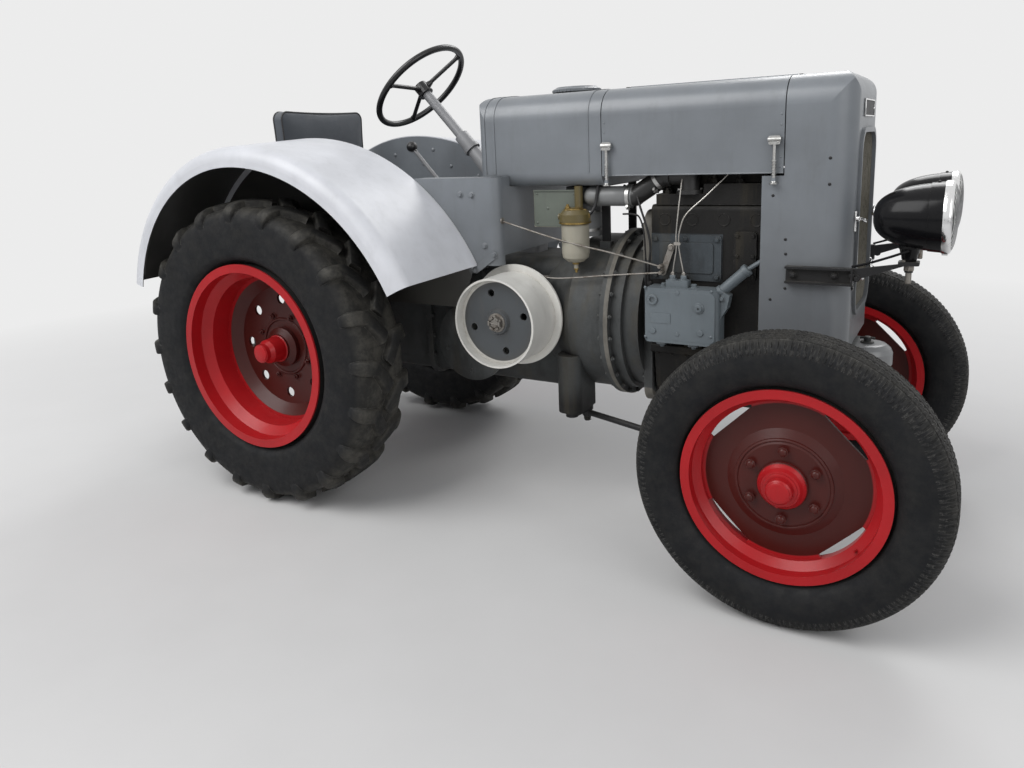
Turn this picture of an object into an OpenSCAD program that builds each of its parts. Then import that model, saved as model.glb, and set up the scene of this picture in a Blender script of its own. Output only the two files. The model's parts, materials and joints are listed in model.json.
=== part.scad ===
// Vintage farm tractor, two-cylinder, on pneumatic tyres
// X points forward, Y to the left, Z up; the origin is on the ground, in the middle of the length

/* [Wheels and axles] */
// Distance between the front axle and the rear axle
wheelbase = 1920; // [1900:5:1940]
// Distance between the middles of the two rear tyres
rear_track = 1160; // [1150:2:1180]
// Outer radius of a rear tyre, over its lugs
rear_tyre_r = 587; // [580:1:594]
// Width of a rear tyre
rear_tyre_w = 270; // [256:2:276]
// Lugs on each side of a rear tyre
lug_count = 20; // [18:1:22]
// Height of a lug over the tread
lug_h = 26; // [20:1:30]
// Width of a lug
lug_w = 44; // [36:1:50]
// Radius of a rear rim over its flanges
rear_rim_r = 354; // [346:1:360]
// Width of a rear rim over its flanges
rear_rim_w = 242; // [232:2:246]
// Distance between the middles of the two front tyres
front_track = 1140; // [1130:2:1160]
// Outer radius of a front tyre
front_tyre_r = 412; // [406:1:418]
// Width of a front tyre
front_tyre_w = 165; // [155:1:168]
// Radius of a front rim over its flanges
front_rim_r = 272; // [266:1:278]
// Width of a front rim over its flanges
front_rim_w = 124; // [116:2:128]
// Thickness of the rim and disc sheet
rim_t = 7; // [6:0.5:9]

/* [Steering] */
// Distance between the two kingpins
kingpin_track = 900; // [890:2:910]
// Radius of a kingpin
kingpin_r = 22; // [20:0.5:24]
// Height of the front axle beam's middle above the wheel axis
beam_rise = 96; // [92:1:100]
// Length of a tie rod arm, from the kingpin rearwards
tie_arm = 120; // [110:2:130]
// Length of a drag link arm, from its pivot inwards
drag_arm = 95; // [88:1:100]
// Forward offset of a drag link arm's end from its pivot
drag_arm_lead = 15; // [10:1:20]
// Radius of the stud at each rod end
stud_r = 9; // [8:0.5:10]
// Radius of the tie rod and the drag link
link_r = 11; // [9:0.5:11]
// Radius of the steering wheel, to the outside of its rim
steering_wheel_r = 213; // [200:1:220]
// Angle of the steering column above the horizontal
column_angle = 47.3; // [46:0.1:48]
// Radius of the steering column tube
column_r = 19; // [17:0.5:22]

/* [Engine and drive line] */
// Height of the crankshaft
crank_z = 717; // [712:1:722]
// Radius of the clutch housing barrel
bell_r = 280; // [270:1:285]
// Radius of the bolted flange between clutch housing and flywheel housing
bell_flange_r = 300; // [296:1:304]
// Distance of that flange behind the front axle
bell_setback = 650; // [640:1:660]
// Distance of the engine's rear face behind the front axle
engine_setback = 515; // [510:1:525]
// Distance of the engine's front face behind the front axle
engine_front_setback = 140; // [130:1:145]
// Width of the engine block
engine_w = 400; // [390:2:410]
// Height of the engine's underside
sump_z = 440; // [436:1:446]
// Width of the gearbox housing
gearbox_w = 300; // [290:2:310]
// Radius of the centre casting of the rear axle
axle_case_r = 215; // [208:1:220]
// Radius of a rear wheel shaft
rear_shaft_r = 40; // [36:1:42]
// Radius of the belt pulley
pulley_r = 156; // [150:1:158]
// Radius of the belt pulley's inner lip
pulley_lip_r = 181; // [176:1:184]
// Width of the belt pulley
pulley_w = 165; // [155:1:170]

/* [Bodywork] */
// Width of the hood, the tank and the radiator shell
hood_w = 490; // [484:2:496]
// Height of the hood's centre line
hood_top = 1498; // [1490:1:1504]
// Height of the hood leaves' lower edges
hood_bottom = 1214; // [1208:1:1220]
// Radius of the hood's upper corners
hood_corner_r = 84; // [76:1:90]
// Rise of the hood's crown over its half width
hood_crown = 18; // [14:1:22]
// Thickness of the sheet metal
sheet_t = 3; // [2.5:0.5:3.5]
// Length of the tank
tank_len = 480; // [475:1:485]
// Distance of the tank's front end behind the clutch housing's flange
tank_front_gap = 20; // [15:1:25]
// Height of the tank's underside
tank_bottom = 1182; // [1178:1:1186]
// Distance of the radiator shell's hood seam behind the front axle
shell_setback = 94; // [90:1:98]
// Reach of the radiator shell's front face ahead of the front axle
shell_reach = 93; // [88:1:98]
// Width of the shell's side strip below the hood, behind the seam
shell_strip = 63; // [56:1:70]
// Height of the radiator shell's lower edge
shell_bottom = 690; // [686:1:694]
// Width of the grille opening
grille_w = 300; // [290:2:310]
// Height of the grille opening's lower edge
grille_bottom = 793; // [785:1:800]
// Height of the grille opening's upper edge
grille_top = 1320; // [1310:1:1330]
// Width between the footwell's side panels, outside
footwell_w = 660; // [656:2:664]
// Height of the footwell's upper edge
footwell_top = 1220; // [1216:1:1224]
// Height of the driver's floor
floor_z = 757; // [750:1:762]
// Distance of the footwell's front wall behind the clutch housing's flange
cowl_setback = 370; // [366:1:374]
// Width over both fenders
fender_track = 1470; // [1466:2:1476]
// Radius of the fender's front arc
fender_front_r = 830; // [826:1:836]
// Radius of the fender's rear arc
fender_rear_r = 664; // [660:1:668]
// Height of the fender's top
fender_top = 1364; // [1360:1:1368]
// Depth of the fender's outer lip
fender_lip = 72; // [62:1:78]

/* [Seat, lamps and hitch] */
// Width of the seat
seat_w = 500; // [480:5:520]
// Height of the seat cushion's top
seat_z = 1130; // [1120:5:1140]
// Height of the backrest's top
backrest_top = 1503; // [1490:1:1510]
// Radius of a headlamp's rim
lamp_r = 98; // [92:1:100]
// Distance of a headlamp from the middle
lamp_y = 240; // [236:1:246]
// Height of the headlamps
lamp_z = 1091; // [1086:1:1096]
// Distance of the hitch's rear end behind the rear axle
hitch_rear = 640; // [630:1:650]
// Height of the perforated drawbar
drawbar_z = 420; // [414:1:426]
// Radius of a drawbar hole
drawbar_hole_r = 13; // [11:0.5:14]

/* [Hidden] */
$fn = 64;

// Running fit of a shaft in its bore, and the gap at which a piece lies on its seat
fit = 0.05;
seat = 0.3;

body_grey = [0.45, 0.46, 0.47];
light_grey = [0.74, 0.75, 0.75];
cast_grey = [0.36, 0.37, 0.38];
dark_iron = [0.13, 0.13, 0.14];
wheel_red = [0.72, 0.05, 0.06];
rubber = [0.07, 0.07, 0.07];
lamp_black = [0.03, 0.03, 0.03];
steel = [0.62, 0.62, 0.60];

front_end = wheelbase + front_tyre_r;
mid_x = (front_end - hitch_rear) / 2;
bell_x = wheelbase - bell_setback;
engine_x = wheelbase - engine_setback;
engine_front_x = wheelbase - engine_front_setback;
tank_front_x = bell_x - tank_front_gap;
tank_x = tank_front_x - tank_len;
footwell_front_x = bell_x - cowl_setback;
shell_x = wheelbase - shell_setback;
shell_front_x = wheelbase + shell_reach;
rear_y = rear_track / 2;
front_y = front_track / 2;
kingpin_y = kingpin_track / 2;
half_w = hood_w / 2;
panel_y = footwell_w / 2;
fender_y = fender_track / 2;

// Puts a piece drawn from the rear axle's ground point into the frame of the whole
module in_frame() {
    translate([-mid_x, 0, 0]) children();
}

module mirrored_pair() {
    children();
    mirror([0, 1, 0]) children();
}

module on_left() {
    mirror([0, 1, 0]) children();
}

module block(x0, x1, y0, y1, z0, z1) {
    translate([x0, y0, z0]) cube([x1 - x0, y1 - y0, z1 - z0]);
}

module bar_x(r, x0, x1, y = 0, z = 0) {
    translate([x0, y, z]) rotate([0, 90, 0]) cylinder(r = r, h = x1 - x0);
}

module bar_y(r, y0, y1, x = 0, z = 0) {
    translate([x, y1, z]) rotate([90, 0, 0]) cylinder(r = r, h = y1 - y0);
}

module bar_z(r, z0, z1, x = 0, y = 0) {
    translate([x, y, z0]) cylinder(r = r, h = z1 - z0);
}

// A round rod from point a to point b
module rod(a, b, r) {
    d = b - a;
    translate(a) rotate([0, acos(d[2] / norm(d)), atan2(d[1], d[0])]) cylinder(r = r, h = norm(d));
}

// Outlines drawn in a vertical or level plane and given a thickness
module slab_xz(y0, y1) {
    translate([0, y1, 0]) rotate([90, 0, 0]) linear_extrude(y1 - y0) children();
}

module slab_yz(x0, x1) {
    translate([x0, 0, 0]) rotate([90, 0, 90]) linear_extrude(x1 - x0) children();
}

module slab_xy(z0, z1) {
    translate([0, 0, z0]) linear_extrude(z1 - z0) children();
}

// A turned piece on a wheel's axis: radius along x, distance outwards to the right along y
module turned_y(x, y, z) {
    translate([x, y, z]) rotate([90, 0, 0]) rotate_extrude() children();
}

// A turned piece that stands upright: radius along x, height along y
module turned_z(x, y) {
    translate([x, y, 0]) rotate_extrude() children();
}

// A turned piece whose axis points forward
module turned_x(x, y, z) {
    translate([x, y, z]) rotate([0, 90, 0]) rotate_extrude() children();
}

// A rectangle with round corners, its middle at the origin
module rounded(w, h, r) {
    square([w - 2 * r, h], center = true);
    square([w, h - 2 * r], center = true);
    for (sx = [-1, 1], sy = [-1, 1]) translate([sx * (w / 2 - r), sy * (h / 2 - r)]) circle(r);
}

// A flat arm with round ends from point a to point b
module arm(a, b, z0, z1, r) {
    d = b - a;
    slab_xy(z0, z1) {
        translate(a) circle(r);
        translate(b) circle(r);
        translate(a) rotate(atan2(d[1], d[0])) translate([0, -r * 0.85]) square([norm(d), r * 1.7]);
    }
}

// Drive line

gearbox_top = crank_z + 205;
gearbox_bottom = crank_z - 282;
axle_face_x = axle_case_r + 5;
barrel_x = bell_x - 140;
flange_t = 15;
pulley_x = bell_x - 342;
pulley_z = 735;
pulley_in_y = 275;
pulley_shaft_r = 24;
drum = [bell_x - 565, floor_z - 153];
drum_r = 140;
drum_y = 250;
saddle_x = tank_front_x - 40;
saddle_w = 40;
saddle_y = 120;
saddle_pad_z = crank_z + bell_r - 12;
drop_ball = [barrel_x, -140];
drop_pivot = drop_ball - [drag_arm_lead, drag_arm];
drop_arm_z = 366;
drop_shaft_r = 18;
drop_depth = 100;
arm_t = 18;
lever_x = bell_x - 630;
cover_t = 14;
pedal_x = bell_x - 480;
pedal_z = 770;
pedal_shaft_r = 14;
pedal_y = gearbox_w / 2 + 55;

module gearbox_housing() {
    color(cast_grey) in_frame() difference() {
        union() {
            slab_yz(axle_face_x, barrel_x - 90) translate([0, (gearbox_top + gearbox_bottom) / 2])
                rounded(gearbox_w, gearbox_top - gearbox_bottom, 55);
            // cone that widens into the clutch housing's barrel and its flange
            translate([barrel_x - 130, 0, crank_z]) rotate([0, 90, 0])
                cylinder(r1 = 215, r2 = bell_r, h = 130);
            bar_x(bell_r, barrel_x, bell_x - flange_t, 0, crank_z);
            bar_x(bell_flange_r, bell_x - flange_t, bell_x, 0, crank_z);
            // joint flange in the middle of the housing
            slab_yz(lever_x - 200, lever_x - 176) translate([0, (gearbox_top + gearbox_bottom) / 2])
                rounded(gearbox_w + 36, gearbox_top - gearbox_bottom + 24, 67);
            // brake drums on both sides, with a lip
            mirrored_pair() {
                bar_y(drum_r, -drum_y, -gearbox_w / 2 + 20, drum[0], drum[1]);
                bar_y(drum_r + 8, -drum_y, -drum_y + 14, drum[0], drum[1]);
                bar_y(46, -drum_y - 14, -drum_y, drum[0], drum[1]);
            }
            // case of the belt pulley's drive
            bar_y(96, -pulley_in_y + 12, -gearbox_w / 2 + 20, pulley_x, pulley_z);
            bar_y(60, -pulley_in_y + 4, -gearbox_w / 2, pulley_x, pulley_z);
            // case of the steering's drop shaft
            slab_xy(drop_arm_z + arm_t + 4, crank_z - 120) translate([drop_pivot[0], drop_pivot[1] + 45])
                rounded(90, 180, 40);
            // pads under the tank's saddle
            for (s = [-1, 1]) block(saddle_x - saddle_w / 2, saddle_x + saddle_w / 2,
                s * saddle_y - 15, s * saddle_y + 15, crank_z + 200, saddle_pad_z);
            // cover on the top, and a boss at each side for the pedals' shaft
            slab_xy(gearbox_top, gearbox_top + cover_t) translate([lever_x - 80, 0]) rounded(300, 220, 40);
            bar_y(pedal_shaft_r + 12, -gearbox_w / 2 - 12, gearbox_w / 2 + 12, pedal_x, pedal_z);
            // pedals on their cross shaft
            bar_y(pedal_shaft_r, -pedal_y - 12, pedal_y + 12, pedal_x, pedal_z);
            for (y = [-pedal_y, pedal_y]) {
                bar_y(24, y - 12, y + 12, pedal_x, pedal_z);
                rod([pedal_x, y, pedal_z], [pedal_x - 52, y, pedal_z + 104], 9);
                rod([pedal_x - 50, y, pedal_z + 100], [pedal_x - 55, y, pedal_z + 110], 34);
            }
        }
        bar_y(pulley_shaft_r + fit, -pulley_in_y, -120, pulley_x, pulley_z);
        bar_z(drop_shaft_r + fit, drop_arm_z, drop_arm_z + drop_depth, drop_pivot[0], drop_pivot[1]);
    }
}

trumpet_end = 415;
trumpet_pad_z = rear_tyre_r + 118;
seat_pad_z = rear_tyre_r + axle_case_r + 10;
drawbar_pad_x = -230;

module rear_axle_housing() {
    color(cast_grey) in_frame() difference() {
        union() {
            bar_y(axle_case_r, -gearbox_w / 2, gearbox_w / 2, 0, rear_tyre_r);
            block(0, axle_face_x, -gearbox_w / 2, gearbox_w / 2, gearbox_bottom,
                rear_tyre_r + axle_case_r - 15);
            // axle trumpets: a flange at each end and a taper between them
            mirrored_pair() turned_y(0, 0, rear_tyre_r) polygon([[0, gearbox_w / 2 - 5],
                [165, gearbox_w / 2 - 5], [165, gearbox_w / 2 + 16], [132, gearbox_w / 2 + 22],
                [84, trumpet_end - 45], [96, trumpet_end - 15], [115, trumpet_end - 15],
                [115, trumpet_end], [0, trumpet_end]]);
            mirrored_pair() block(-45, 45, -310, -240, rear_tyre_r, trumpet_pad_z);
            block(-100, 100, -100, 100, rear_tyre_r, seat_pad_z);
            // pads that carry the drawbar
            mirrored_pair() block(drawbar_pad_x, -100, 95, 139, drawbar_z + 12, drawbar_z + 112);
            // rear cover and the shaft of the power take-off
            bar_x(130, -axle_case_r - 20, -axle_case_r + 60, 0, rear_tyre_r);
            bar_x(45, -axle_case_r - 34, -axle_case_r, 0, rear_tyre_r - 40);
            bar_x(17, -axle_case_r - 95, -axle_case_r, 0, rear_tyre_r - 40);
        }
        mirrored_pair() bar_y(rear_shaft_r + fit, -trumpet_end - 1, -trumpet_end + 90, 0, rear_tyre_r);
    }
}

plate_t = 29;

// Flywheel housing: the flange of its joint, a slimmer drum and the plate at the engine's rear face
module flywheel_housing() {
    color(cast_grey) in_frame() {
        bar_x(bell_flange_r, bell_x, bell_x + flange_t, 0, crank_z);
        bar_x(bell_r - 4, bell_x + flange_t, bell_x + 52, 0, crank_z);
        bar_x(bell_r - 22, bell_x + 52, engine_x - plate_t, 0, crank_z);
        slab_yz(engine_x - plate_t, engine_x) translate([0, (sump_z + block_top - 20) / 2])
            rounded(engine_w, block_top - 20 - sump_z, 60);
    }
}

// Engine

block_top = 1118;
gasket_z = 1183;
head_top = 1255;
engine_mid = (engine_x + engine_front_x) / 2;
crankcase_z = crank_z - 62;
case_bottom = shell_bottom + 10;

module engine_block() {
    color(dark_iron) in_frame() {
        slab_yz(engine_x, engine_front_x) translate([0, (crankcase_z + block_top) / 2])
            rounded(engine_w, block_top - crankcase_z, 18);
        // sump below the joint at the crankshaft's bearings
        slab_yz(engine_x, engine_front_x) translate([0, crankcase_z - 12]) rounded(engine_w + 24, 30, 8);
        slab_yz(engine_x + 8, engine_front_x - 14) polygon([[-engine_w / 2, crankcase_z],
            [engine_w / 2, crankcase_z], [engine_w / 2 - 20, sump_z + 60], [engine_w / 2 - 90, sump_z],
            [90 - engine_w / 2, sump_z], [20 - engine_w / 2, sump_z + 60]]);
        // covers over the push rods, and the timing case in front
        mirrored_pair() {
            slab_xz(-engine_w / 2 - 8, -engine_w / 2) translate([engine_x + 118, 951]) rounded(226, 146, 12);
            slab_xz(-engine_w / 2 - 12, -engine_w / 2) translate([engine_x + 305, 962]) rounded(68, 150, 10);
        }
        slab_yz(engine_front_x, engine_front_x + 22) translate([0, (case_bottom + gasket_z - 240) / 2])
            rounded(300, gasket_z - 240 - case_bottom, 90);
        // pad of the injection pump
        slab_xz(-engine_w / 2 - pump_seat, -engine_w / 2) translate([engine_x + pump_w / 2, pump_z])
            rounded(pump_w - 30, pump_h - 30, 12);
    }
}

low_top = block_top + 34;
port_x = engine_x + 120;

module cylinder_head() {
    head_y = engine_w / 2 - 3;
    rear_x = engine_x + 15;
    front_x = engine_front_x - 4;
    color(dark_iron) in_frame() {
        // low ledge under the intake port, full height elsewhere
        block(rear_x, front_x, -head_y, head_y, block_top, low_top);
        slab_xy(low_top, gasket_z) polygon([[rear_x, head_y], [front_x, head_y], [front_x, -head_y],
            [port_x + 50, -head_y], [port_x + 50, -138], [rear_x, -138]]);
        slab_xy(gasket_z, gasket_z + 30) translate([engine_mid, 0])
            rounded(engine_front_x - engine_x - 40, 276, 24);
        // a rocker cover over each cylinder
        for (s = [-1, 1]) slab_xy(gasket_z + 30, head_top) translate([engine_mid + s * 85, 10])
            rounded(130, 230, 34);
        // injectors, leaning out from the covers
        for (s = [-1, 1])
            rod([engine_mid + s * 85, -115, gasket_z + 20], [engine_mid + s * 85, -152, gasket_z + 78], 13);
    }
}

pump_out = 85;
pump_seat = 12;
pump_w = 245;
pump_h = 178;
pump_z = 773;
pump_edge = 24;

// Injection pump: a cast box with round edges, its outlet block and the governor's tube
module injection_pump() {
    face = engine_w / 2 + pump_out;
    color(cast_grey) in_frame() {
        intersection() {
            slab_xz(-face, -engine_w / 2 - pump_seat - seat) translate([engine_x + pump_w / 2, pump_z])
                rounded(pump_w, pump_h, 16);
            slab_xy(pump_z - pump_h, pump_z + pump_h) translate([engine_x + pump_w / 2, -engine_w / 2])
                rounded(pump_w, 2 * pump_out, pump_edge);
        }
        translate([0, 0, pump_z + pump_h / 2]) {
            slab_xy(-5, 22) translate([engine_x + 104, -engine_w / 2 - 42]) rounded(74, 36, 6);
            for (x = [engine_x + 86, engine_x + 122]) bar_z(9, 20, 34, x, -engine_w / 2 - 42);
        }
        rod([engine_x + pump_w - 14, -engine_w / 2 - 42, pump_z + 70],
            [engine_x + pump_w + 76, -engine_w / 2 - 38, pump_z + 154], 17);
        slab_xz(-engine_w / 2 - 60, -engine_w / 2 - 22) translate([engine_x + pump_w - 2, pump_z])
            polygon([[-8, -20], [22, 30], [30, 72], [8, 84], [-8, 60]]);
    }
}

filter_x = bell_x - 120;
filter_y = -243;
filter_top = 1105;

module fuel_filter() {
    hang_y = filter_y + 31;
    color(steel) in_frame() {
        turned_z(filter_x, filter_y) polygon([[0, 905], [8, 905], [8, 926], [28, 930], [44, 944], [47, 962],
            [47, 1060], [53, 1066], [53, filter_top - 14], [40, filter_top], [0, filter_top]]);
        // bracket and plate that hang the filter under the tank
        bar_z(14, filter_top - 8, tank_bottom, filter_x, hang_y);
        block(filter_x - 176, filter_x, hang_y + 4, hang_y + 10, 1040, tank_bottom - 14);
        bar_x(11, filter_x - 60, filter_x + 20, filter_y, filter_top - 24);
    }
}

intake_y = -180;
intake_z = tank_bottom - 37;
intake_r = 33;
intake_x0 = bell_x - 80;
intake_x1 = engine_x - 62;
cleaner = [bell_x - 150, -105];
cleaner_r = 62;
port = [engine_x + 42, intake_y, 1212];

// Intake pipe from the air cleaner above the clutch housing, the hose that bends up and the port's elbow
module intake_pipe() {
    color(body_grey) in_frame() {
        bar_x(intake_r, intake_x0, intake_x1, intake_y, intake_z);
        translate([intake_x0, intake_y, intake_z]) sphere(intake_r);
        rod([intake_x0, intake_y, intake_z], [cleaner[0], cleaner[1], intake_z], intake_r);
        bar_z(cleaner_r, crank_z + bell_r + 6, tank_bottom - 8, cleaner[0], cleaner[1]);
        bar_z(cleaner_r + 5, intake_z - 64, intake_z - 50, cleaner[0], cleaner[1]);
        // hose with a clamp at each end
        bar_x(intake_r + 5, intake_x1 - 26, intake_x1 - 12, intake_y, intake_z);
        translate([intake_x1, intake_y, intake_z]) sphere(intake_r);
        rod([intake_x1, intake_y, intake_z], port, intake_r - 1);
        translate(port) sphere(intake_r);
        bar_x(intake_r - 2, port[0], port_x, intake_y, port[2]);
        bar_x(intake_r + 4, port[0] + 4, port[0] + 18, intake_y, port[2]);
        translate([port_x, intake_y, port[2]]) sphere(intake_r - 2);
        bar_z(intake_r - 2, low_top + 4, port[2], port_x, intake_y);
        bar_z(intake_r + 8, low_top, low_top + 12, port_x, intake_y);
    }
}

exhaust_y = 235;

module exhaust() {
    color(dark_iron) in_frame() {
        manifold_z = gasket_z - 33;
        bar_x(30, engine_x + 50, engine_front_x - 60, exhaust_y, manifold_z);
        for (x = [engine_x + 90, engine_front_x - 100])
            block(x - 24, x + 24, engine_w / 2 - 3 + seat, exhaust_y, manifold_z - 24, manifold_z + 24);
        // pipe down to the silencer
        translate([engine_x + 50, exhaust_y, manifold_z]) sphere(30);
        bar_z(28, 480, manifold_z, engine_x + 50, exhaust_y + 16);
        bar_z(55, 560, 900, engine_x + 50, exhaust_y + 40);
    }
}

// Front axle and steering

carrier_top = shell_bottom;
carrier_bottom = 600;
beam_z = front_tyre_r + beam_rise;
boss_bottom = front_tyre_r + 37;
boss_top = beam_z + 52;
pivot_r = 22;
nose_x = wheelbase + 125;
nose_r = 75;
lug_t = 33;
lug_gap = 52;

// Casting under the radiator: a deep frame with a round nose and two lugs for the axle's pivot pin
module axle_carrier() {
    lugs = [wheelbase - lug_gap - lug_t, wheelbase + lug_gap];
    color(cast_grey) in_frame() {
        slab_xz(-120, 120) polygon([[engine_front_x, crank_z - 160], [engine_front_x + 40, carrier_bottom],
            [shell_front_x - 12, carrier_bottom], [shell_front_x - 12, carrier_top],
            [engine_front_x, carrier_top]]);
        block(shell_front_x - 60, nose_x, -nose_r, nose_r, carrier_bottom - 12, carrier_top - 20);
        turned_z(nose_x, 0) polygon([[0, carrier_bottom - 12], [nose_r - 12, carrier_bottom - 12],
            [nose_r, carrier_bottom + 6], [nose_r, carrier_bottom + 42], [nose_r - 6, carrier_bottom + 56],
            [nose_r - 20, carrier_top - 22], [nose_r - 30, carrier_top - 20], [0, carrier_top - 20]]);
        for (x = lugs) {
            block(x, x + lug_t, -48, 48, beam_z, carrier_bottom);
            bar_x(48, x, x + lug_t, 0, beam_z);
        }
        bar_x(pivot_r, lugs[0], lugs[1] + lug_t + 10, 0, beam_z);
    }
}

module front_axle_beam() {
    color(cast_grey) in_frame() difference() {
        union() {
            block(wheelbase - 32, wheelbase + 32, -kingpin_y, kingpin_y, beam_z - 36, beam_z + 36);
            bar_x(50, wheelbase - lug_gap + 2, wheelbase + lug_gap - 2, 0, beam_z);
            for (s = [-1, 1]) bar_z(38, boss_bottom, boss_top, wheelbase, s * kingpin_y);
        }
        // hollows of the I section
        for (sx = [-1, 1], sy = [-1, 1])
            block(wheelbase + sx * 21 - 13, wheelbase + sx * 21 + 13, sy * (kingpin_y - 205) - 165,
                sy * (kingpin_y - 205) + 165, beam_z - 22, beam_z + 22);
        bar_x(pivot_r + fit, wheelbase - lug_gap - 8, wheelbase + lug_gap + 8, 0, beam_z);
        for (s = [-1, 1]) bar_z(kingpin_r + fit, boss_bottom - 1, boss_top + 1, wheelbase, s * kingpin_y);
    }
}

stub_r = 24;
stub_end = 620;
tie_z = front_tyre_r - 8;
tie_eye_z0 = tie_z - 24;
knuckle_ball = [wheelbase + drag_arm_lead, -kingpin_y + drag_arm];
drag_plate_z = 340;
eye_h = 22;
eye_r = 18;

// Kingpin, stub axle and tie rod arm of the right side
module knuckle() {
    bar_z(36, drag_plate_z, boss_bottom - 0.5, wheelbase, -kingpin_y);
    bar_z(kingpin_r, boss_bottom - 1, boss_top + 22, wheelbase, -kingpin_y);
    bar_z(32, boss_top + 0.5, boss_top + 22, wheelbase, -kingpin_y);
    bar_y(stub_r, -stub_end, -kingpin_y, wheelbase, front_tyre_r);
    bar_y(34, -kingpin_y - 46, -kingpin_y, wheelbase, front_tyre_r);
    arm([wheelbase, -kingpin_y], [wheelbase - tie_arm, -kingpin_y], tie_z, tie_z + arm_t, 20);
    bar_z(stud_r, tie_eye_z0 - 4, tie_z + 1, wheelbase - tie_arm, -kingpin_y);
}

module knuckle_right() {
    color(cast_grey) in_frame() {
        knuckle();
        arm([wheelbase, -kingpin_y], knuckle_ball, drag_plate_z, drag_plate_z + arm_t, 20);
        bar_z(stud_r, drag_plate_z - eye_h - 6, drag_plate_z + 1, knuckle_ball[0], knuckle_ball[1]);
    }
}

module knuckle_left() {
    color(cast_grey) in_frame() on_left() knuckle();
}

module tie_rod() {
    tie_x = wheelbase - tie_arm;
    color(dark_iron) in_frame() difference() {
        union() {
            for (s = [-1, 1]) bar_z(eye_r, tie_eye_z0, tie_eye_z0 + eye_h, tie_x, s * kingpin_y);
            bar_y(link_r, -kingpin_y, kingpin_y, tie_x, tie_eye_z0 + eye_h / 2);
        }
        bar_z(stud_r + fit, tie_eye_z0 - 1, tie_eye_z0 + eye_h + 1, tie_x, -kingpin_y);
        bar_z(stud_r + seat, tie_eye_z0 - 1, tie_eye_z0 + eye_h + 1, tie_x, kingpin_y);
    }
}

module drop_arm() {
    top_z = drop_arm_z + drop_depth - 2;
    color(dark_iron) in_frame() {
        bar_z(drop_shaft_r, drop_arm_z + arm_t - 1, top_z, drop_pivot[0], drop_pivot[1]);
        arm(drop_pivot, drop_ball, drop_arm_z, drop_arm_z + arm_t, 22);
        bar_z(stud_r, drop_arm_z - eye_h - 6, drop_arm_z + 1, drop_ball[0], drop_ball[1]);
    }
}

module drag_link() {
    rear = [drop_ball[0], drop_ball[1], drop_arm_z - 2 - eye_h / 2];
    front = [knuckle_ball[0], knuckle_ball[1], drag_plate_z - 2 - eye_h / 2];
    color(dark_iron) in_frame() difference() {
        union() {
            bar_z(eye_r, rear[2] - eye_h / 2, rear[2] + eye_h / 2, rear[0], rear[1]);
            bar_z(eye_r, front[2] - eye_h / 2, front[2] + eye_h / 2, front[0], front[1]);
            rod(rear, front, link_r);
        }
        bar_z(stud_r + fit, rear[2] - 20, rear[2] + 20, rear[0], rear[1]);
        bar_z(stud_r + seat, front[2] - 20, front[2] + 20, front[0], front[1]);
    }
}

// Wheels

// Section of a rim: flanges, bead seats and a well between them; x is the radius
function rim_section(rf, hw, flange, well, seat_w, t) = [
    [rf, hw], [rf, hw - t], [rf - flange, hw - t], [rf - flange, hw - seat_w],
    [rf - flange - well, hw - seat_w - well], [rf - flange - well, -hw + seat_w + well],
    [rf - flange, -hw + seat_w], [rf - flange, -hw + t], [rf, -hw + t], [rf, -hw],
    [rf - flange - t, -hw], [rf - flange - t, -hw + seat_w + t / 3],
    [rf - flange - well - t, -hw + seat_w + well + t / 3],
    [rf - flange - well - t, hw - seat_w - well - t / 3],
    [rf - flange - t, hw - seat_w - t / 3], [rf - flange - t, hw]];

// Half of a tyre's outline from the bead to the tread; x is the radius, and a small flat squares it
function tyre_side(r_bead, r_out, half_bead, half_w, n, flat) = [for (i = [1:n]) let (
    a = 180 * i / (n + 1),
    c = cos(a) / cos(180 * n / (n + 1)),
    mid = (r_bead + r_out) / 2,
    x = mid + (r_out - mid) * sign(c) * pow(abs(c), 1.32 * flat),
    y = half_w * pow(sin(a), flat),
    bead_y = half_bead * (1 - (x - r_bead) / (mid - r_bead)))
    [x, x < mid ? max(y, bead_y) : y]];

// Section of a tyre: beads inside the rim's flanges, round sidewalls and a flatter tread
function tyre_section(r_bead, r_flange, r_out, half_bead, half_w, flat, n = 12) = let (
    side = tyre_side(r_flange + 1.5, r_out, half_bead, half_w, n, flat))
    concat([[r_bead, -half_bead], [r_bead, half_bead]], [for (i = [0:n - 1]) side[i]],
    [for (i = [n - 1:-1:0]) [side[i][0], -side[i][1]]]);

rear_flange = 24;
front_flange = 18;
rear_disc_z = -75;
hub_gap = 1.5;

module rear_rim() {
    rb = rear_rim_r - rear_flange - 30 - rim_t;
    difference() {
        union() {
            turned_y(0, -rear_y, rear_tyre_r)
                polygon(rim_section(rear_rim_r, rear_rim_w / 2, rear_flange, 30, 45, rim_t));
            // disc deep inside the rim
            turned_y(0, -rear_y, rear_tyre_r) polygon([[0, rear_disc_z], [rb - 52, rear_disc_z],
                [rb - 12, rear_disc_z + 32], [rb + 2, rear_disc_z + 32], [rb + 2, rear_disc_z + 41],
                [rb - 16, rear_disc_z + 41], [rb - 56, rear_disc_z + 11], [0, rear_disc_z + 11]]);
            // hub and its cap
            turned_y(0, -rear_y, rear_tyre_r) polygon([[0, trumpet_end + hub_gap - rear_y],
                [70, trumpet_end + hub_gap - rear_y], [78, rear_disc_z], [78, rear_disc_z + 30],
                [50, rear_disc_z + 45], [46, 30], [36, 45], [36, 63], [0, 63]]);
            bar_y(rear_shaft_r, -trumpet_end - 10, -trumpet_end + 80, 0, rear_tyre_r);
        }
        for (a = [0:45:315]) translate([0, 0, rear_tyre_r]) rotate([0, a, 0])
            bar_y(20, -rear_y - rear_disc_z - 40, -rear_y - rear_disc_z + 40, 190, 0);
    }
}

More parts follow.
